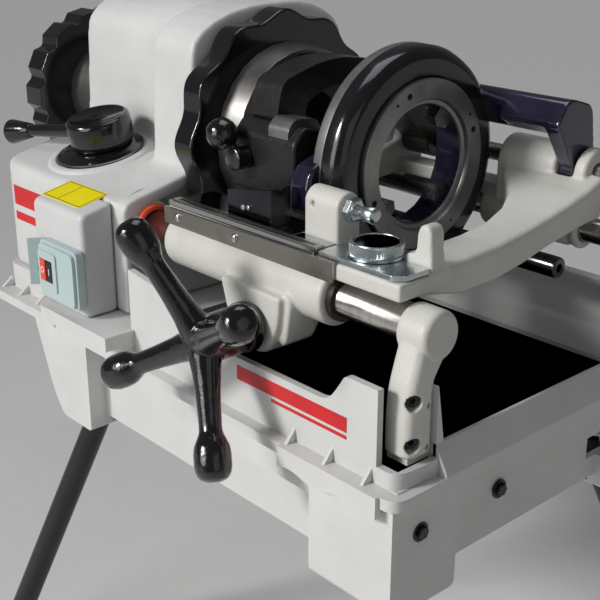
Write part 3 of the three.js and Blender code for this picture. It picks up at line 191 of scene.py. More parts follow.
SEAL_RED = surface("seal_red", [(0.72, 0.055, 0.015), (0.85, 0.085, 0.02)], (0.35, 0.5), grain=500,
                   grain_depth=0.06)
STRIPE_RED = surface("stripe_red", [(0.55, 0.012, 0.016), (0.66, 0.020, 0.022)], (0.4, 0.5), grain=700,
                     grain_depth=0.03)
LABEL_YELLOW = surface("label_yellow", [(0.86, 0.72, 0.0), (0.92, 0.80, 0.005)], (0.3, 0.4), grain=500,
                       grain_depth=0.02)
LABEL_LINE = surface("label_line", [(0.06, 0.05, 0.02), (0.09, 0.08, 0.03)], (0.4, 0.5), grain=500,
                     grain_depth=0.02)
SWITCH_BLUE = surface("switch_plastic", [(0.42, 0.53, 0.53), (0.47, 0.58, 0.575)], (0.36, 0.46), grain=700,
                      grain_depth=0.05, stain_and_sheen=(0.36, 0.45, 0.44), stain_and_sheen_share=0.25)
BUTTON_RED = surface("button_red", [(0.72, 0.06, 0.025), (0.80, 0.09, 0.035)], (0.25, 0.35), grain=500,
                     grain_depth=0.03)
BUTTON_BLACK = surface("button_black", [(0.012, 0.012, 0.012), (0.02, 0.02, 0.02)], (0.25, 0.35), grain=500,
                       grain_depth=0.03)
MARK_WHITE = surface("mark_white", [(0.75, 0.75, 0.74), (0.82, 0.82, 0.8)], (0.4, 0.5), grain=500,
                     grain_depth=0.02)
BRONZE = surface("bronze", [(0.035, 0.03, 0.026), (0.07, 0.06, 0.05)], (0.3, 0.45), metallic=0.7, grain=500,
                 grain_depth=0.08)
# The lighter purple-blue blotches mixed into the chip tray's colour are painted reflections, not stains.
PAN_BLACK = surface("pan_black", [(0.010, 0.010, 0.016), (0.030, 0.027, 0.052)], (0.08, 0.3), blotch=10,
                    grain=420, grain_depth=0.15, wave=20, wave_depth=0.8, stain_and_sheen=(0.10, 0.085, 0.17),
                    stain_and_sheen_scale=11, stain_and_sheen_share=0.42, coat=0.8)


# ---------------------------------------------------------------- shapes
def on_axis(axis, a, b, along):
    """(x, y, z) of an outline point: X takes (y, z), Y takes (z, x) and Z takes (x, y) outlines."""
    return {"x": (along, a, b), "y": (b, along, a), "z": (a, b, along)}[axis]


def rounded(corners, radius, steps=4):
    """The outline with its corners rounded. A corner may carry its own radius as a third number."""
    points = []
    count = len(corners)
    for i, corner in enumerate(corners):
        here = Vector(corner[:2])
        before = Vector(corners[i - 1][:2]) - here
        after = Vector(corners[(i + 1) % count][:2]) - here
        reach = corner[2] if len(corner) > 2 else radius
        first = here + before.normalized() * min(reach, before.length * 0.48)
        last = here + after.normalized() * min(reach, after.length * 0.48)
        if reach < 0.01:
            points.append(tuple(here))
            continue
        for k in range(steps + 1):
            t = k / steps
            points.append(tuple(first * (1 - t) ** 2 + here * 2 * t * (1 - t) + last * t ** 2))
    return points


class Shape:
    """Closed solids collected into one mesh, drawn in millimetres."""

    def __init__(self):
        self.mesh = bmesh.new()

    def loft(self, rings, loop=False):
        made = [[self.mesh.verts.new(at(*point)) for point in ring] for ring in rings]
        pairs = list(zip(made, made[1:] + ([made[0]] if loop else [])))
        for lower, upper in pairs:
            for i in range(len(lower)):
                j = (i + 1) % len(lower)
                self.mesh.faces.new((lower[i], lower[j], upper[j], upper[i]))
        if not loop:
            self.mesh.faces.new(made[0])
            self.mesh.faces.new(made[-1])
        return self

    def prism(self, axis, outline, start, end):
        return self.loft([[on_axis(axis, a, b, along) for a, b in outline] for along in (start, end)])

    def box(self, x0, x1, y0, y1, z0, z1):
        return self.prism("z", [(x0, y0), (x1, y0), (x1, y1), (x0, y1)], z0, z1)

    def turned(self, axis, a, b, profile, segments=56, loop=False):
        """A turned solid from (place along the axis, radius) points; a loop closes on itself as a ring."""
        turns = [2 * math.pi * i / segments for i in range(segments)]
        rings = [[on_axis(axis, a + r * math.cos(t), b + r * math.sin(t), along) for t in turns]
                 for along, r in profile]
        return self.loft(rings, loop)

    def bar(self, axis, a, b, r, start, end, segments=48, edge=1.0):
        return self.turned(axis, a, b, [(start, r - edge), (start + edge, r), (end - edge, r),
            (end, r - edge)], segments)

    def ring(self, axis, a, b, outer, inner, start, end, segments=64):
        return self.turned(axis, a, b, [(start, inner), (start, outer), (end, outer), (end, inner)],
                           segments, True)

    def tube(self, path, radii, segments=20, flatten=1.0):
        """A round bar along the path, with a radius at each of its points."""
        points = [Vector(p) for p in path]
        side = None
        rings = []
        for i, point in enumerate(points):
            ahead = (points[min(i + 1, len(points) - 1)] - points[max(i - 1, 0)]).normalized()
            if side is None:
                side = ahead.cross(Vector((0, 0, 1)) if abs(ahead.z) < 0.9 else Vector((0, 1, 0)))
            side = (side - ahead * side.dot(ahead)).normalized()
            other = ahead.cross(side)
            turns = [2 * math.pi * k / segments for k in range(segments)]
            rings.append([
                tuple(point + side * radii[i] * math.cos(t) + other * radii[i] * flatten * math.sin(t))
                for t in turns
            ])
        return self.loft(rings)

    def between(self, start, end, profile, segments=24):
        """A turned solid between two points, from (share of the way, radius) points."""
        a, b = Vector(start), Vector(end)
        return self.tube([a.lerp(b, share) for share, _ in profile], [r for _, r in profile], segments)

    def ball(self, x, y, z, r, segments=24):
        angles = [math.pi * (i + 0.5) / segments for i in range(segments)]
        return self.turned("z", x, y, [(z - r * math.cos(t), r * math.sin(t)) for t in angles], segments * 2)

    def girder(self, axis, stations, radius, steps=4):
        """Rounded rectangles (along, a0, a1, b0, b1) lofted along an axis, each across that axis."""
        rings = []
        for along, a0, a1, b0, b1 in stations:
            outline = rounded([(a0, b0), (a1, b0), (a1, b1), (a0, b1)], radius, steps)
            rings.append([on_axis(axis, a, b, along) for a, b in outline])
        return self.loft(rings)

    def onto_slope(self, lift=1.2):
        """Lays a shape drawn over the level plane y = 0, z = 0 on the headstock's slope at the lever."""
        rise = 33 + (LEVER_Y - HEAD_FRONT) * math.tan(TOP_SLOPE) + lift
        start, end = at(0, 0, 0), at(0, LEVER_Y, rise)
        turn = Matrix.Translation(end) @ Matrix.Rotation(TOP_SLOPE, 4, "X") @ Matrix.Translation(-start)
        bmesh.ops.transform(self.mesh, matrix=turn, verts=self.mesh.verts)
        return self

    def copy_node(self, node):
        self.mesh.from_mesh(frame["nodes"][node].data)
        bmesh.ops.remove_doubles(self.mesh, verts=self.mesh.verts, dist=1e-6)
        bmesh.ops.dissolve_limit(self.mesh, angle_limit=math.radians(1), verts=self.mesh.verts,
                                 edges=self.mesh.edges)
        return self


def bake(obj):
    """Replaces the object's mesh with the result of its modifiers."""
    result = bpy.data.meshes.new_from_object(obj.evaluated_get(bpy.context.evaluated_depsgraph_get()))
    obj.modifiers.clear()
    obj.data = result


def to_object(name, shape):
    bmesh.ops.recalc_face_normals(shape.mesh, faces=shape.mesh.faces)
    mesh = bpy.data.meshes.new(name)
    shape.mesh.to_mesh(mesh)
    shape.mesh.free()
    obj = bpy.data.objects.new(name, mesh)
    bpy.context.scene.collection.objects.link(obj)
    return obj


def piece(name, shape, material, body, replaces=(), holes=None, within=None, bevel=0.0, steps=2, sharp=32,
          fuse=0.0, soften=5):
    """Makes one visible piece. fuse is the voxel size in mm that joins its solids with soft inner corners."""
    obj = to_object(name, shape)
    for tool, operation in ((within, "INTERSECT"), (holes, "DIFFERENCE")):
        if tool is None:
            continue
        cutter = to_object(name + "_tool", tool)
        modifier = obj.modifiers.new("cut", "BOOLEAN")
        modifier.operation = operation
        modifier.object = cutter
        modifier.solver = "EXACT"
        modifier.use_self = True
        bake(obj)
        bpy.data.objects.remove(cutter)
    if fuse:
        remesh = obj.modifiers.new("fuse", "REMESH")
        remesh.mode = "VOXEL"
        remesh.voxel_size = fuse * MM
        smooth = obj.modifiers.new("soften", "SMOOTH")
        smooth.factor = 0.6
        smooth.iterations = soften
        bake(obj)
    if bevel:
        edge = obj.modifiers.new("bevel", "BEVEL")
        edge.width = bevel * MM
        edge.segments = steps
        edge.angle_limit = math.radians(sharp)
        edge.use_clamp_overlap = True
        bake(obj)
    obj.data.shade_smooth()
    if not fuse:
        obj.data.set_sharp_from_angle(angle=math.radians(sharp))
        if bevel:
            weighted = obj.modifiers.new("normals", "WEIGHTED_NORMAL")
            weighted.keep_sharp = True
            bake(obj)
    obj.data.materials.clear()
    obj.data.materials.append(material)
    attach(obj, body)
    if replaces:
        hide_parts(*replaces)
    return obj


def body_of_node(node):
    return next(body for body, members in frame["record"]["behaviour"]["bodies"].items() if node in members)


def refine(node, material, bevel=0.8, sharp=32, steps=2):
    """The CAD node again, with its edges rounded and a finished surface."""
    return piece(f"{node}_shown", Shape().copy_node(node), material, body_of_node(node), [node], bevel=bevel,
                 sharp=sharp, steps=steps)


# ---------------------------------------------------------------- pieces that keep the frame's own outlines
REFINED = [
    (PAINT, 1.5, ["rear_pillar", "motor_body"]),
    (OILY_IRON, 0.8, ["fan_cover", "cam_ring", "cutter_fork"]),
    (CAST_STEEL, 0.5, ["spindle_gear", "layshaft", "motor_shaft", "spindle", "chuck_jaw_1", "chuck_jaw_2",
                       "chuck_jaw_3",
                       "rear_jaw_1", "rear_jaw_2", "rear_jaw_3", "pinion_shaft", "cutter_wheel"]),
    (GROUND, 0.8, ["pivot_shaft"]),
    (RUBBER, 0.8, ["cable_gland"]),
    (GLOSS_BLACK, 2.0, ["rear_chuck_wheel"]),
]
for material, width, names in REFINED:
    for node in names:
        refine(node, material, width)


# ---------------------------------------------------------------- headstock
def head_profile(shoulder, inset=0):
    slope = math.tan(TOP_SLOPE)
    crown_back = 330
    top = 33 - inset
    points = [
        (HEAD_FRONT + inset, PLATFORM_TOP + 0.4, 0), (HEAD_FRONT + inset, top, 16),
        (shoulder + inset, top + (shoulder - HEAD_FRONT) * slope, 14), (shoulder + 8 + inset, 205 - inset, 8),
    ]
    middle = (shoulder + 8 + crown_back) / 2
    half = (crown_back - shoulder - 8) / 2 - inset
    for i in range(1, 12):
        angle = math.pi * (1 - i / 12)
        points.append((middle + half * math.cos(angle), 205 - inset + 55 * math.sin(angle), 4))
    points += [(crown_back - inset, 205 - inset, 8), (HEAD_BACK - inset, 110 - inset, 20),
               (HEAD_BACK - inset, PLATFORM_TOP + 0.4, 0)]
    return rounded(points, 6)


def headstock():
    shell = Shape()
    shell.prism("x", head_profile(108), HEAD_LEFT, HEAD_RIGHT)
    shell.prism("x", head_profile(64), -520, HEAD_RIGHT)
    shell.prism("x", [(HEAD_FRONT, -60), (HEAD_FRONT, BOX_TOP), (0, BOX_TOP + 42 * math.tan(TOP_SLOPE)),
                      (0, -60)], BOX_LEFT,
                BOX_RIGHT)
    plan = Shape().prism("z", rounded([
        (HEAD_LEFT, HEAD_FRONT, 42), (HEAD_RIGHT, HEAD_FRONT, 3), (HEAD_RIGHT, HEAD_BACK, 10),
        (HEAD_LEFT, HEAD_BACK, 30),
    ], 3, 8), PLATFORM_TOP - 5, 400)
    recess = Shape()
    recess.prism("x", rounded([
        (HEAD_FRONT + 13, PLATFORM_TOP - 5), (HEAD_FRONT + 13, 16, 20), (60, 38, 14), (79, 64, 20),
        (88, 190, 14), (300, 190, 30), (370, 100, 30), (370, PLATFORM_TOP - 5),
    ], 6), HEAD_RIGHT - 16, HEAD_RIGHT + 10)
    recess.bar("x", SPINDLE_Y, SPINDLE_Z, 72, HEAD_LEFT - 10, HEAD_RIGHT + 10)
    shown = piece("headstock_shown", shell, PAINT, "frame", ["headstock_casting"], within=plan,
                  holes=recess, fuse=3, soften=6)
    bosses = Shape()
    bosses.turned("x", 0, 0, [(HEAD_RIGHT - 18, 44), (HEAD_RIGHT - 14, 38), (HEAD_RIGHT - 8, 33),
                              (HEAD_RIGHT - 0.2, 31),
                              (HEAD_RIGHT - 0.2, 20.5), (HEAD_RIGHT - 18, 20.5)], 48, True)
    bosses.ring("x", REAR_RAIL_Y, REAR_RAIL_Z, 26, 15.5, HEAD_RIGHT - 18, HEAD_RIGHT - 0.2)
    bosses.ring("x", SPINDLE_Y, SPINDLE_Z, 92, 70, HEAD_RIGHT - 18, HEAD_RIGHT - 0.2)
    piece("headstock_bosses", bosses, PAINT, "frame", bevel=1.5)
    return shown


headstock()


# ---------------------------------------------------------------- speed lever
def along_lever(reach, height):
    return LEVER_X - reach * math.cos(LEVER_SWEPT), -reach * math.sin(LEVER_SWEPT), height


def speed_lever():
    seat = Shape().turned("z", DISC_X, DISC_Y, [
        (-1.5, 77), (2.5, 73), (4, 70), (4, 64), (-1.5, 63)], 72, True).onto_slope(0)
    piece("lever_seat_ring", seat, PAINT, "frame", bevel=0.8)
    disc = Shape().turned("z", DISC_X, DISC_Y, [
        (0.4, 58), (0.4, 60.4), (3, 60.9), (5.4, 60.4), (6, 58.5), (8, 52), (11.8, 48), (11.8, 20)],
        72).onto_slope()
    piece("lever_disc", disc, GLOSS_BLACK, "frame", ["lever_flange"], sharp=50)
    rim = Shape().ring("z", DISC_X, DISC_Y, 60.98, 60.2, 2.6, 4.4, 72).onto_slope()
    piece("lever_disc_rim", rim, BRIGHT_PLATE, "frame")
    hub = Shape().turned("z", LEVER_X, 0, [
        (12.6, 40), (16, 43), (24, 44.8), (46, 44.8), (51, 43.6), (53.6, 40.5), (53.6, 38), (51.8, 36),
        (51.8, 10)], 72).onto_slope()
    piece("lever_hub", hub, GLOSS_BLACK, "lever", ["speed_lever"], sharp=50)
    arm = Shape().between(along_lever(30, 29), along_lever(139, 21),
                          [(0, 12), (0.3, 10.5), (1, 8.6)]).onto_slope()
    piece("lever_arm", arm, GLOSS_BLACK, "lever")
    grip = Shape().between(along_lever(139.5, 21), along_lever(183, 16), [
        (0, 8.8), (0.04, 10.5), (0.4, 13.5), (0.9, 17.6), (0.97, 17.8), (0.99, 17), (1, 14)], 40).onto_slope()
    piece("lever_grip", grip, GLOSS_BLACK, "lever", ["lever_knob"], sharp=50)
    cap = Shape().between(along_lever(182.2, 16.1), along_lever(182.95, 16), [(0, 13.6), (1, 13.2)],
                          40).onto_slope()
    piece("lever_grip_end", cap, CAST_STEEL, "lever")


speed_lever()


# ---------------------------------------------------------------- switch
SWITCH_LEFT, SWITCH_RIGHT, SWITCH_FRONT, SWITCH_LOW, SWITCH_HIGH = -545, -457, -106, -100, -22


def switch():
    drop = (HEAD_FRONT - BOX_FRONT) * math.tan(TOP_SLOPE)
    cover = Shape().prism("x", rounded([
        (BOX_FRONT, PLATFORM_TOP + 0.5, 0), (HEAD_FRONT - 0.4, PLATFORM_TOP + 0.5, 0),
        (HEAD_FRONT - 0.4, BOX_TOP, 0), (BOX_FRONT, BOX_TOP - drop, 9),
    ], 6), BOX_LEFT, BOX_RIGHT)
    piece("switch_cover", cover, SHEET_PAINT, "frame", ["switch_box"], bevel=7, steps=4, sharp=60)
    back = BOX_FRONT - 0.4
    rim = Shape().prism("y", rounded([
        (SWITCH_LOW, SWITCH_LEFT), (SWITCH_LOW, SWITCH_RIGHT), (SWITCH_HIGH, SWITCH_RIGHT),
        (SWITCH_HIGH, SWITCH_LEFT),
    ], 9), SWITCH_FRONT + 5, back)
    face = rounded([(SWITCH_LOW + 4, SWITCH_LEFT + 3), (SWITCH_LOW + 4, SWITCH_RIGHT - 4),
                    (SWITCH_HIGH - 4, SWITCH_RIGHT - 4), (SWITCH_HIGH - 4, SWITCH_LEFT + 3)], 8)
    rim.prism("y", face, SWITCH_FRONT + 0.5, SWITCH_FRONT + 5.5)
    panel = [(-86, -541), (-86, -499), (-34, -499), (-34, -541)]
    rim.prism("y", rounded(panel, 5), SWITCH_FRONT - 1.6, SWITCH_FRONT + 2)
    pocket = Shape().box(-537.6, -507.8, SWITCH_FRONT - 4, back - 4, -74.8, -45.2)
    piece("switch_body", rim, SWITCH_BLUE, "frame", ["switch_housing"], holes=pocket, bevel=1.4, steps=3)
    wing = Shape().prism("z", [(SWITCH_LEFT + 1, back), (SWITCH_LEFT - 15, back - 21),
                               (SWITCH_LEFT - 15, back - 18.5),
                               (SWITCH_LEFT - 3, back)], SWITCH_LOW + 12, SWITCH_HIGH - 2)
    piece("switch_wing", wing, SWITCH_BLUE, "frame", bevel=0.6)
    screw = Shape().bar("y", -62, -541.5, 2.6, SWITCH_FRONT - 1.2, SWITCH_FRONT + 1, 20, 0.6)
    piece("switch_screw", screw, RUBBER, "frame")
    for name, x, material in (("stop", -537, BUTTON_RED), ("start", -521, BUTTON_BLACK)):
        cap = Shape().box(x, x + 12.5, SWITCH_FRONT - 2.4, SWITCH_FRONT + 6, -74, -46)
        piece(f"{name}_cap", cap, material, f"{name}_button", [f"{name}_button"], bevel=1.2, steps=3)
        mark = Shape()
        if name == "stop":
            mark.ring("y", -60, x + 6.2, 4.2, 3.0, SWITCH_FRONT - 2.55, SWITCH_FRONT - 2.0, 32)
        else:
            mark.box(x + 5.5, x + 6.9, SWITCH_FRONT - 2.55, SWITCH_FRONT - 2.0, -64.5, -55.5)
        piece(f"{name}_mark", mark, MARK_WHITE, f"{name}_button")


switch()


# ---------------------------------------------------------------- bed
def platform_plan(front):
    """Plan of the platform; its front edge swings out to `front` under the switch box."""
    swing = []
    for i in range(13):
        t = i / 12
        ease = t * t * (3 - 2 * t)
        swing.append((-604 + 60 * t, -50 + (front + 50) * ease, 0))
    return rounded([(-748, 420, 20), (-748, -50, 34), *swing, (-392, front, 0), (-392, 420, 0)], 4, 8)


def front_lip():
    """The wavy lower edge of the flange at the right of the front."""
    points = [(-150, -98), (-150, 48)]
    for i in range(33):
        share = i / 32
        points.append((-174 - 3 * math.sin(share * 4 * math.pi), 48 - 146 * share))
    return points


def bed():
    wall_top = [
        (-36, -399, 2), (-43, -345, 6), (-48, -322, 8), (-66, -310, 14), (-81, -284, 18), (-84, -262, 10),
        (-84, -50, 8), (-78, -38, 10), (-58, -24, 10), (-48, -18, 5), (-48, 28, 1),
    ]
    walls = Shape()
    walls.prism("y", rounded([(-152, -399, 0), *wall_top, (-152, 28, 0)], 4, 5), -64, -56)
    walls.prism("z", rounded([(-400, -80, 1), (70, -80, 20), (70, 420, 20), (-400, 420, 1)], 4, 8), -163,
                -150)
    walls.prism("z", platform_plan(-107), -132, -114)
    walls.prism("z", platform_plan(-80), -163, -131)
    walls.prism("z", rounded([(-744, -30, 1), (-744, -76, 24), (-574, -76, 6), (-574, -30, 1)], 4, 6), -163,
                -150)
    walls.box(-400, 58, -64, 374, -204, -149)
    walls.prism("y", [(-152, 70), (-146, 70), (-117, 54), (-117, 48), (-152, 48)], -5, 414)
    walls.prism("z", rounded([(20, -5), (20, -64, 1), (58, -64, 34), (58, -5)], 1, 10), -152, -131)
    walls.prism("x", rounded([
        (366, -152, 0), (366, -150, 0), (380, -122, 8), (384, -118, 4), (396, -85, 20), (400, -62, 4),
        (412, -62, 2), (412, -152, 0)], 4), -400, 66)
    walls.prism("y", front_lip(), -85, -77)
    inside = Shape().box(-392, 50, -55.9, 366, -196, -20)
    piece("bed_walls", walls, PAINT, "frame", ["bed_casting"], holes=inside, bevel=2.6, steps=3, sharp=40)
    corner = Shape()
    corner.prism("x", rounded([(-5, -52, 1), (6, -116, 1), (6, -150), (-5, -150)], 0), 44, 54)
    corner.box(16, 44, -36, -4.4, -134, -123.4)
    piece("bed_corner_fin", corner, PAINT, "frame", bevel=1.0)
    ribs = Shape()
    for x in (-736, -688, -640):
        ribs.prism("x", [(-49, -136), (-49, -151), (-68, -151)], x, x + 6)
    for x in (-96, -38, 18):
        ribs.prism("x", [(-63, -133), (-63, -152), (-79, -152)], x, x + 5)
    piece("bed_gussets", ribs, PAINT, "frame", bevel=1.2)


def bed_skirt():
    shell = Shape().box(-606, 40, -45, 368, -278, -161)
    for front, back in ((-72, 28), (312, 412)):
        shell.prism("x", rounded([(front, -161, 0), (front, -295, 8), (back, -295, 8), (back, -161, 0)], 4),
                    -62, 60)
        shell.prism("y", rounded([
            (-161, -634, 0), (-161, -500, 0), (-295, -500, 6), (-295, -571, 8), (-266, -593, 14)], 4),
            front, back)
    inside = Shape().box(-598, 32, -37, 360, -290, -204.5)
    for sign, front, back in ((-1, -64, 48), (1, 292, 404)):
        inside.box(-576, -508, front, back, -250, -171)
        inside.box(-54, 52, front, back, -250, -212)
        for side, x in ((-1, -532), (1, 0)):
            y = -24 if sign < 0 else 364
            ends = [(x + side * 0.3 * run, y + sign * 0.3 * run, -268 - run) for run in (-10, 42)]
            inside.between(*ends, [(0, 17.6), (1, 17.6)], 32)
    piece("bed_skirt", shell, PAINT, "frame", holes=inside, bevel=3, steps=3, sharp=40)
    bolts = Shape()
    for x, y, z in ((60.4, 96, -205), (60.4, -30, -205), (60.4, 330, -205)):
        bolts.bar("x", y, z, 8, x - 2, x + 5, 6, 1)
        bolts.bar("x", y, z, 11, x - 2, x + 1, 32, 0.5)
    piece("skirt_bolts", bolts, OILY_IRON, "frame", sharp=40)


bed()
bed_skirt()
refine("chip_tray", PAN_BLACK, 1.5)
for corner in ("front_left", "front_right", "rear_left", "rear_right"):
    refine(f"leg_{corner}", TUBE_BLACK, 1.0)


# ---------------------------------------------------------------- hammer chuck wheel
def hammer_wheel():
    lobes, radius = 12, 158
    left, right = -425, -389
    steps = lobes * 16
    outline = []
    for i in range(steps):
        angle = 2 * math.pi * i / steps
        reach = radius - 5 + 5 * math.cos(lobes * angle)
        outline.append((SPINDLE_Y + reach * math.cos(angle), SPINDLE_Z + reach * math.sin(angle)))
    rim = Shape().prism("x", outline, left, right)
    hollow = Shape().bar("x", SPINDLE_Y, SPINDLE_Z, radius - 24, left - 5, right - 14, 96)
    hollow.bar("x", SPINDLE_Y, SPINDLE_Z, 97, left - 5, right + 5, 96)
    piece("hammer_wheel_shown", rim, GLOSS_BLACK, "hammer_wheel", ["hammer_wheel"], holes=hollow, bevel=3.5,
          steps=4, sharp=50)


hammer_wheel()


# ---------------------------------------------------------------- rails, pillars and pipe
def rails():
    rod = Shape().bar("x", 0, 0, RAIL_R, -446, 40, 96, 1.5)
    piece("front_rail_shown", rod, GROUND, "frame", ["front_rail"], sharp=50)
    back = Shape().bar("x", REAR_RAIL_Y, REAR_RAIL_Z, REAR_RAIL_R, -446, 66, 72, 1.5)
    piece("rear_rail_shown", back, GROUND, "frame", ["rear_rail"], sharp=50)
    seal = Shape().turned("x", 0, 0, [(-435.6, 21), (-435.6, 25), (-433, 27), (-429, 26.6), (-427, 24),
        (-427, 21)], 64,
                          True)
    piece("rail_seal_shown", seal, SEAL_RED, "frame", ["rail_seal"], sharp=60)
    pipe = Shape().turned("x", 310, -27, [
        (-435, 13.4), (-38, 13.4), (-34.6, 12.6), (-34, 11.5), (-34, 5.5), (-56, 5), (-56, 0.5),
        (-90, 0.5)], 48)
    piece("oil_pipe_shown", pipe, PIPE_STEEL, "frame", ["oil_pipe"], sharp=40)


rails()


# ---------------------------------------------------------------- front pillar
def from_corner(reach, z):
    """A place out from the middle of the pillar's rounded corner, along its bolts."""
    facing = math.radians(-30)
    return 34 + reach * math.cos(facing), -26 + reach * math.sin(facing), z


def front_pillar():
    body = Shape()
    body.turned("x", 0, -3, [(12.4, 22), (13, 25), (16, 26.8), (45, 26.8), (49, 25.4), (51.4, 22.5)], 72)
    body.girder("z", [
        (-122.8, 14, 52, -44, -6), (-84, 14, 52, -44, -6), (-62, 14, 52, -42.5, -6), (-46, 14, 51.5, -39, -3),
        (-30, 14, 51, -34, 8), (-12, 14, 50, -28, 22), (2, 14, 48, -24, 22)], 13, 6)
    cuts = Shape().bar("x", 0, 0, 20.6, 8, 40.6, 48)
    for z in (-64, -110):
        cuts.between(from_corner(4, z), from_corner(27, z), [(0, 8.8), (1, 8.8)], 48)
        cuts.bar("x", -15, z - 7, 3.2, 40, 62, 24)
    piece("front_pillar_shown", body, WARM_PAINT, "frame", ["front_pillar"], holes=cuts, fuse=1.2, soften=5)
    bolts = Shape()
    for z in (-64, -110):
        bolts.between(from_corner(2, z), from_corner(10, z), [(0, 6.8), (1, 6.8)], 28)
    sockets = Shape()
    for z in (-64, -110):
        sockets.between(from_corner(6, z), from_corner(12, z), [(0, 3.6), (1, 3.6)], 6)
    piece("pillar_bolts", bolts, OILY_IRON, "frame", holes=sockets, bevel=0.4)


front_pillar()


# ---------------------------------------------------------------- carriage
LUG_Y, SCREW_Z = 32, 85
ARM_STATIONS = [
    # y, then lower and upper z, then left x
    (-22, 31, 46, -71), (30, 18, 46, -62), (85, 6, 45, -57), (141, 7, 47.5, -55), (185, 14, 53.5, -54),
    (228, 24, 61, -64), (262, 30, 68, -82), (300, 36, 78, -118), (330, 38, 90, -141),
]


def carriage():
    body = Shape()
    body.turned("x", 0, 0, [(-366.6, 28), (-366, 31), (-362, 33.6), (-93, 33.6), (-89, 32), (-88.4, 29)], 72)
    body.box(-361, -98, -22.6, 30, -12, 31)
    body.box(-366.6, 14.6, -23.6, 56, 27, 45.6)
    body.girder("y", [(y, low, high, left, 3.6) for y, low, high, left in ARM_STATIONS], 9, 5)
    left_arm = [(20, 27, 46), (85, 6, 45), (141, 7, 47.5), (185, 14, 53.5), (228, 24, 61), (285, 34, 74),
                (330, 38, 88)]
    body.girder("y", [(y, low, high, -328, -310) for y, low, high in left_arm], 5, 4)
    body.turned("x", REAR_RAIL_Y, REAR_RAIL_Z, [
        (-170, 23), (-168, 25), (-44, 25), (-40, 23), (-34, 23), (-31, 25), (-25, 25), (-24, 23)], 56)
    body.box(-327, -40, 327, 363, 35, 53)
    body.box(-142, -14.4, 315.4, 370, 35, 60)
    for left, right, r in ((-142, -57.4, 30), (-31.6, -14.4, 30), (-328, -310.4, 25)):
        body.turned("x", PIVOT_Y, PIVOT_Z, [(left, r - 3), (left + 3, r - 0.3), (right - 3, r - 0.3),
            (right, r - 3)], 56)
        body.prism("x", rounded([(345 - r, 35, 1), (345 + r - 5, 35, 1), (345 + r - 1, 87),
                                 (345 - r + 0.3, 87)], 1),
                   left + 0.6, right - 0.6)
    body.prism("y", rounded([
        (-6, -240, 4), (-6, -138, 4), (-40, -142, 10), (-76, -158, 14), (-80, -184, 14), (-76, -214, 14),
        (-52, -226, 10)], 6), -45.6, 22)
    body.prism("y", rounded([(0, -140, 1), (-10, -128, 6), (-60, -136, 8), (-66, -146, 4), (-40, -150, 2)],
                            4), -38, 4)
    arch = [(LUG_Y + 17.6 * math.cos(math.pi * i / 20),
             SCREW_Z + 17.6 * math.sin(math.pi * i / 20)) for i in range(21)]
    body.prism("x", [*arch, (LUG_Y - 17.6, 33), (LUG_Y + 17.6, 33)], -164.6, -112.4)
    body.prism("y", rounded([
        (33, -24, 1), (60, -24, 2), (60, -14, 4), (66, -10, 4), (88, -8, 4), (94, -3, 4), (94, 5, 5),
        (88, 10, 5), (33, 14, 1)], 3), 24, 44)
    cuts = Shape().bar("x", 0, 0, 21.2, -400, 30, 64)
    cuts.bar("x", REAR_RAIL_Y, REAR_RAIL_Z, 16.2, -400, 30, 48)
    cuts.bar("x", PIVOT_Y, PIVOT_Z, 12.2, -400, 30, 40)
    cuts.bar("x", PIVOT_Y, PIVOT_Z, 26.4, -57.2, -32, 56)
    cuts.bar("y", HAND_Z, HAND_X, 13.4, -60, 60, 40)
    cuts.bar("y", HAND_Z, HAND_X, 34.6, -15, 15, 56)
    cuts.bar("x", LUG_Y, SCREW_Z, 7, -190, -105, 32)
    cuts.bar("y", SCREW_Z, -152, 3.2, 10, 22, 24)
    piece("carriage_shown", body, WARM_PAINT, "carriage", ["carriage_casting"], holes=cuts, fuse=2.0,
          soften=5)


carriage()


# ---------------------------------------------------------------- strips, plates and screws of the carriage
def trim():
    strip = Shape().prism("y", [(25, -367), (45, -367), (48, -75), (25, -75)], -28.4, -24.4)
    piece("front_strip_shown", strip, STAINLESS, "carriage", ["front_strip"], bevel=0.5)
    plate = Shape().box(-364, -112.2, -23, 12.9, 46.4, 50.2).box(-364, -165.6, -16, 44, 46.4, 50.4)
    piece("top_plate_shown", plate, MIRROR, "carriage", ["top_plate"], bevel=0.3)
    guide = Shape().box(-358, -106, -22, -10, 50.8, 54.8)
    slot = Shape().box(-350, -114, -17.6, -14.4, 48, 57)
    piece("guide_strip_shown", guide, STAINLESS, "carriage", ["guide_strip"], holes=slot, bevel=0.4)
    lips = Shape().box(-362, -108, -24, -22.6, 46.4, 53).box(-362, -110, -9.2, -7.8, 50.6, 53.4)
    piece("guide_lips", lips, BRIGHT_PLATE, "carriage", bevel=0.2)
    heads = Shape()
    for x in (-340, -233):
        heads.turned("y", 36, x, [(-31.4, 1), (-31.2, 3.4), (-30.2, 4.8), (-28.5, 5.2), (-26, 5.2)], 32)
    piece("strip_screws", heads, BRIGHT_PLATE, "carriage", sharp=60)
    cover = Shape().prism("z", rounded([
        (-104, -22, 2), (2, -22, 3), (12, -12, 3), (12, 22, 2), (-26, 22, 2), (-26, 50, 2), (-104, 50, 2)],
        2), 46.4, 52.2)
    piece("knob_plate_shown", cover, ZINC, "carriage", ["knob_plate"], bevel=0.7)


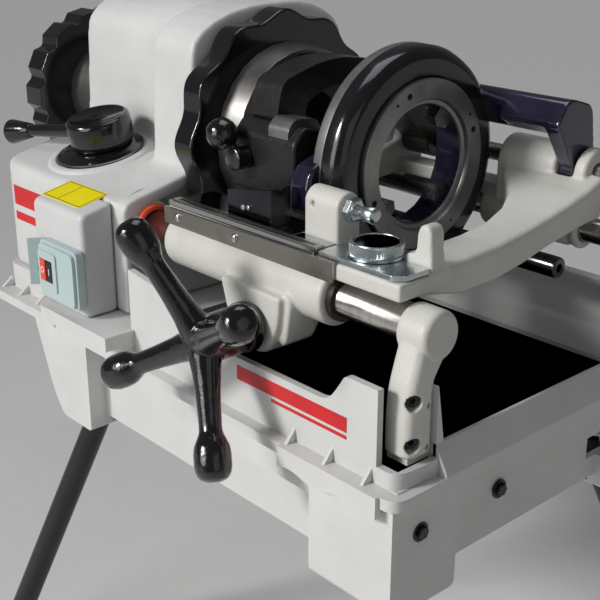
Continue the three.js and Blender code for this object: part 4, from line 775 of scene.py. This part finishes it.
def knurled_knob():
    x, y, z, r, notches = -54, 14, 52.8, 29, 90
    rim = []
    for i in range(notches * 2):
        angle = math.pi * i / notches
        reach = r - (0.9 if i % 2 else 0)
        rim.append((x + reach * math.cos(angle), y + reach * math.sin(angle)))
    body = Shape().prism("z", rim, z + 3, z + 14)
    body.turned("z", x, y, [(z, r + 1), (z, r + 1.9), (z + 3, r + 1.9), (z + 3.4, r - 1), (z + 3.4, r - 3)],
                90)
    body.turned("z", x, y, [(z + 13, r - 2), (z + 15, r - 2.6), (z + 15, r - 5), (z + 13, r - 5.5)], 90, True)
    cup = Shape().turned("z", x, y, [(z + 9, r - 7), (z + 12, r - 6), (z + 20, r - 5)], 90)
    piece("knurled_knob_shown", body, ZINC, "knurled_knob", ["knurled_knob"], holes=cup, bevel=0.25, sharp=50)
    screw = Shape().bar("z", x, y, 5, z + 8, z + 11.5, 6, 0.6)
    piece("knob_screw", screw, CAST_STEEL, "knurled_knob", bevel=0.3)


def stop_screw():
    y, z = LUG_Y, SCREW_Z
    turns = Shape()
    profile = [(-178.8, 1.6), (-171, 5.2)]
    for i in range(37):
        start = -169.6 + i * 2.1
        profile += [(start, 5.1), (start + 1.05, 5.95)]
    turns.turned("x", y, z, [*profile, (-90, 5.4)], 32)
    piece("stop_screw_thread", turns, ZINC, "carriage", sharp=70)
    head = Shape().turned("x", y, z, [
        (-90, 5), (-88.5, 8.2), (-87, 8.95), (-74.5, 8.95), (-72.9, 7.8), (-72.2, 5)], 40)
    piece("stop_screw_head", head, ZINC, "carriage", ["stop_screw"], sharp=50)
    nut = Shape().turned("x", y, z, [(-111.5, 11.6), (-110, 13.9), (-102.5, 13.9), (-101.1, 11.6)], 6)
    bore = Shape().bar("x", y, z, 6.2, -130, -95, 32)
    piece("stop_nut_shown", nut, ZINC, "carriage", ["stop_nut"], holes=bore, bevel=0.4)
    bush = Shape().ring("x", y, z, 9, 6.8, -168, -164.8, 40)
    piece("lug_bush", bush, CAST_STEEL, "carriage", bevel=0.4)


trim()
knurled_knob()
stop_screw()
refine("rail_bush", BRONZE, 0.6)


def cutter_bracket():
    """A folded dark sheet with a small bright screw in its front."""
    left, right, front, low = -273.9, -198.1, -5, 50.9
    sheet = Shape().prism("y", [(low, left), (low + 29.8, left), (low + 42.8, right), (low, right)],
                          front + 0.1, front + 2.9)
    sheet.box(right - 2.8, right, front + 2, 23.9, low, low + 42.8)
    piece("cutter_bracket_shown", sheet, DARK_SHEET, "carriage", ["cutter_bracket"], bevel=0.6)
    cap = Shape().bar("y", 65.5, -243, 3.6, front - 3.4, front + 1, 24, 0.8)
    cap.bar("y", 66.5, -235, 3.0, front - 2.2, front + 1, 6, 0.5)
    piece("bracket_screw", cap, ZINC, "carriage", bevel=0.2)


cutter_bracket()


# ---------------------------------------------------------------- handwheel
def handwheel():
    wheel = Shape()
    wheel.turned("y", HAND_Z, HAND_X, [
        (-129.6, 8), (-129, 15), (-126, 21), (-118, 25), (-108, 27), (-66, 27), (-62, 28.8), (-50, 28.8),
        (-49.4, 27)], 56)
    lean = (HAND_TIP_Y - HAND_HUB_Y) / HAND_TIP_R
    profile = [
        (0, 19), (20, 18), (34, 15.6), (60, 13.6), (88, 12.4), (95, 13), (101, 16), (108, 19.2), (116, 20.3),
        (128, 20.4), (136, 18.6), (141, 14.6), (144, 7)]
    for i in range(4):
        angle = math.radians(29.5 + 90 * i)
        path = [(HAND_X + r * math.cos(angle), HAND_HUB_Y + lean * r, HAND_Z + r * math.sin(angle)) for r,
                _ in profile]
        wheel.tube(path, [width for _, width in profile], 28)
    bore = Shape().bar("y", HAND_Z, HAND_X, 12.8, HAND_HUB_Y + 7, -40, 40)
    piece("handwheel_shown", wheel, ENAMEL, "feed", ["handwheel"], holes=bore, fuse=1.8, soften=6)


handwheel()


# ---------------------------------------------------------------- die head
def spun(axis_y, axis_z, angle, y, z):
    """The (y, z) point turned about an axis along X."""
    c, s = math.cos(angle), math.sin(angle)
    return axis_y + y * c - z * s, axis_z + y * s + z * c


def die_head():
    ring = Shape().turned("x", SPINDLE_Y, SPINDLE_Z, [
        (DIE_LEFT, 106), (DIE_LEFT, 131), (DIE_LEFT + 2, 134.5), (DIE_LEFT + 6, 136.6),
        (DIE_RIGHT - 16, 136.6),
        (DIE_RIGHT - 8, 132.5), (DIE_RIGHT - 3, 126), (DIE_RIGHT - 2, 121), (DIE_RIGHT - 2, 102.4),
        (DIE_LEFT + 8, 102.4), (DIE_LEFT + 8, 106)], 144, True)
    piece("die_ring", ring, GLOSS_BLACK, "die_head", ["die_head_body"], bevel=1.0, sharp=28)
    band = Shape().turned("x", SPINDLE_Y, SPINDLE_Z, [
        (DIE_LEFT + 3, 133), (DIE_LEFT + 3, 135.8), (DIE_LEFT + 6, 136.95), (DIE_LEFT + 17, 136.95),
        (DIE_LEFT + 17, 133)], 144, True)
    piece("die_ring_band", band, FACE_STEEL, "die_head", bevel=0.3)
    arm = Shape()
    arm.turned("x", PIVOT_Y, PIVOT_Z, [(-55.6, 22), (-54, 23.8), (-35, 23.8), (-33.4, 22)], 56)
    arm.prism("x", rounded([(325, 87, 1), (365, 87, 1), (351, 165, 12), (303, 179, 16), (285, 147, 10)], 8,
                           6), -55, -34)
    arm.prism("x", rounded([(283, 147, 6), (315, 129, 8), (339, 147, 8), (325, 171, 10), (303, 179, 14)], 8,
                           6), -190, -34)
    arm.prism("x", rounded([
        (77, 125, 6), (41, 113, 14), (33, 93, 14), (33, 59, 10), (53, 55, 10), (81, 69, 6)], 8, 6), -210,
        -181)
    clear = Shape().bar("x", SPINDLE_Y, SPINDLE_Z, 122, -230, -120, 96)
    clear.bar("x", PIVOT_Y, PIVOT_Z, 12, -80, 0, 40)
    piece("die_arm", arm, PURPLE_OIL, "die_head", holes=clear, fuse=2.0, soften=5)


def die_face():
    left, right = DIE_LEFT + 8.4, DIE_RIGHT + 4
    face = Shape().turned("x", SPINDLE_Y, SPINDLE_Z, [
        (left, 71), (left, 100.8), (right - 1, 100.8), (right, 99.6), (right, 78), (right - 2, 76.5),
        (right - 5, 76), (right - 6, 71.5), (right - 8, 70.2)], 144, True)
    holes = Shape()
    for i in range(4):
        turn = math.pi / 2 * i
        corners = [spun(SPINDLE_Y, SPINDLE_Z, turn + math.pi / 4, *p) for p in ((-13.4, 50), (13.4, 50),
            (13.4, 92), (-13.4, 92))]
        holes.prism("x", corners, DIE_LEFT + 15.6, DIE_LEFT + 34.4)
        holes.bar("x", *spun(SPINDLE_Y, SPINDLE_Z, turn + 0.35, 0, 89), 4, right - 9, right + 3, 28)
        holes.bar("x", *spun(SPINDLE_Y, SPINDLE_Z, turn + 0.58, 0, 91), 2, right - 9, right + 3, 20)
    piece("die_face", face, FACE_STEEL, "die_head", ["die_head_face"], holes=holes, bevel=0.5)
    bore = Shape().turned("x", SPINDLE_Y, SPINDLE_Z, [
        (left + 0.5, 70.1), (left + 0.5, 71.5), (right - 8.5, 71.5), (right - 8.5, 70.1)], 96, True)
    piece("die_bore_film", bore, PURPLE_OIL, "die_head")


die_head()
die_face()
for i in range(1, 5):
    refine(f"chaser_{i}", OILED_STEEL, 0.6)


# ---------------------------------------------------------------- cutter
def cutter():
    y, z = SPINDLE_Y, SPINDLE_Z
    body = Shape().prism("x", rounded([
        (44, z - 34, 6), (44, z + 34, 6), (60, z + 52, 8), (110, z + 40, 8), (118, z - 30, 6),
        (86, z - 48, 10)], 6, 6), -321.6, -214.4)
    bore = Shape().bar("y", z + 6, -300, 9.6, 30, 130, 40)
    piece("cutter_block", body, OILY_IRON, "cutter", ["cutter_frame"], holes=bore, bevel=3.5, steps=4)
    over = Shape().prism("x", rounded([
        (60, z + 52, 6), (70, z + 96, 14), (150, z + 118, 40), (250, z + 100, 30), (355, z + 40, 20),
        (367, 87, 4), (323, 87, 4),
        (240, z + 66, 30), (150, z + 86, 30), (104, z + 66, 14), (108, z + 38, 4)], 8, 6), -308.6, -262.4)
    over.turned("x", PIVOT_Y, PIVOT_Z, [(-308.8, 22), (-307, 23.8), (-264, 23.8), (-262.2, 22)], 56)
    pin = Shape().bar("x", PIVOT_Y, PIVOT_Z, 11.8, -330, -250, 48)
    piece("cutter_arm", over, OILY_IRON, "cutter", holes=pin, bevel=2.5, steps=3)
    guard = Shape().prism("x", rounded([(47, z + 20, 3), (47, z + 48, 5), (58, z + 60, 6), (92, z + 56, 8),
        (98, z + 42, 4),
                                        (70, z + 40, 6)], 4, 5), -262, -228)
    piece("cutter_guard", guard, CAST_STEEL, "cutter", bevel=1.0)
    crank = Shape().turned("y", z + 6, -300, [(22.4, 11), (24, 13.6), (42, 13.6), (43.4, 12.5), (43.4, 8.9),
        (123.6, 8.9)], 48)
    crank.tube([(-300, 32, 105), (-308, 29, 119), (-315, 25, 133)], [7, 6.4, 6], 24)
    crank.ball(-317, 23, 133, 19, 24)
    piece("cutter_crank", crank, ENAMEL, "cutter_screw", ["cutter_screw"], sharp=50)


cutter()


# ---------------------------------------------------------------- plain plate and stripes without lettering
def around_head_corner(left, right):
    """Plan of a thin band that follows the headstock's rounded left front corner."""
    radius, steps = 42, 10
    middle_x, middle_y = HEAD_LEFT + radius, HEAD_FRONT + radius
    turn = math.asin((middle_x - left) / radius)
    angles = [turn * (1 - i / steps) for i in range(steps + 1)]
    outer = [(middle_x - (radius + 0.3) * math.sin(a),
              middle_y - (radius + 0.3) * math.cos(a)) for a in angles]
    inner = [(middle_x - (radius - 2) * math.sin(a), middle_y - (radius - 2) * math.cos(a)) for a in angles]
    return [*outer, (right, HEAD_FRONT - 0.3), (right, HEAD_FRONT + 2), *reversed(inner)]


def markings():
    slope = math.tan(TOP_SLOPE)

    def on_cover(u, v):
        """A place on the sloping top of the switch cover: u along X, v up the slope."""
        y = BOX_FRONT + 3 + v
        return BOX_LEFT + u, y, BOX_TOP - (HEAD_FRONT - y) * slope

    def sheet(corners, thick):
        low = [on_cover(u, v) for u, v in corners]
        return [[(x, y, z - 0.2) for x, y, z in low], [(x, y, z + thick) for x, y, z in low]]
    plate = Shape().loft(sheet(rounded([(3, 10), (94, 10), (94, 55), (3, 55)], 3), 0.5))
    piece("plain_plate", plate, LABEL_YELLOW, "frame")
    border = Shape()
    for u0, u1, v0, v1 in ((6, 91, 12, 13), (6, 91, 52, 53), (6, 7, 12, 53), (90, 91, 12, 53),
                           (38, 38.8, 14, 51)):
        border.loft(sheet([(u0, v0), (u1, v0), (u1, v1), (u0, v1)], 0.7))
    piece("plain_plate_border", border, LABEL_LINE, "frame")
    stripes = Shape()
    for left, low, high in ((-189, -110, -93), (-131, -117.5, -113.5)):
        stripes.box(left, -14, -64.35, -63.5, low, high)
    for left, right, low, high in ((-736, -640, -24, 4), (-716, -640, -46, -34)):
        stripes.loft([[(x, y, z) for x, y in around_head_corner(left, right)] for z in (low, high)])
    piece("plain_stripes", stripes, STRIPE_RED, "frame")


markings()


# ---------------------------------------------------------------- studio
def lamp(name, kind, place, energy, size, colour=(1, 1, 1)):
    data = bpy.data.lights.new(name, kind)
    data.energy = energy
    data.color = colour
    if kind == "SUN":
        data.angle = size
    else:
        data.size = size
    light = bpy.data.objects.new(name, data)
    light.location = at(*place)
    light.rotation_euler = (at(-250, 100, -50) - light.location).to_track_quat("-Z", "Y").to_euler()
    bpy.context.scene.collection.objects.link(light)


def studio():
    bpy.ops.mesh.primitive_plane_add(size=60, location=(0, 0, -0.002))
    floor = bpy.context.object
    floor.name = "studio_floor"
    floor.data.materials.append(surface("floor_paint", [(0.84, 0.84, 0.84), (0.86, 0.86, 0.86)], (0.6, 0.7),
        grain=300,
                                        grain_depth=0.05))
    world = bpy.data.worlds.new("studio")
    world.use_nodes = True
    world.node_tree.nodes["Background"].inputs["Color"].default_value = (0.96, 0.97, 1, 1)
    world.node_tree.nodes["Background"].inputs["Strength"].default_value = 0.10
    bpy.context.scene.world = world
    bpy.context.scene.view_settings.view_transform = "Standard"
    lamp("sun", "SUN", (-1150, -2300, 1350), 2.0, math.radians(12), (1, 0.99, 0.97))
    lamp("front_box", "AREA", (-500, -1500, 500), 8, 0.9)
    lamp("right_fill", "AREA", (1300, -500, 500), 1.2, 1.0, (1, 0.98, 0.95))
    lamp("top_box", "AREA", (-300, 200, 1100), 3, 0.7, (0.92, 0.95, 1))


def camera():
    azimuth, down = math.radians(48), math.radians(21)
    data = bpy.data.cameras.new("photo_view")
    data.lens = 67.2
    data.sensor_width = 36
    data.clip_end = 60
    view = bpy.data.objects.new("photo_view", data)
    view.location = at(702.1, -772.1, 420.0)
    view.rotation_euler = (math.pi / 2 - down, 0, azimuth)
    bpy.context.scene.collection.objects.link(view)
    bpy.context.scene.camera = view


studio()
camera()
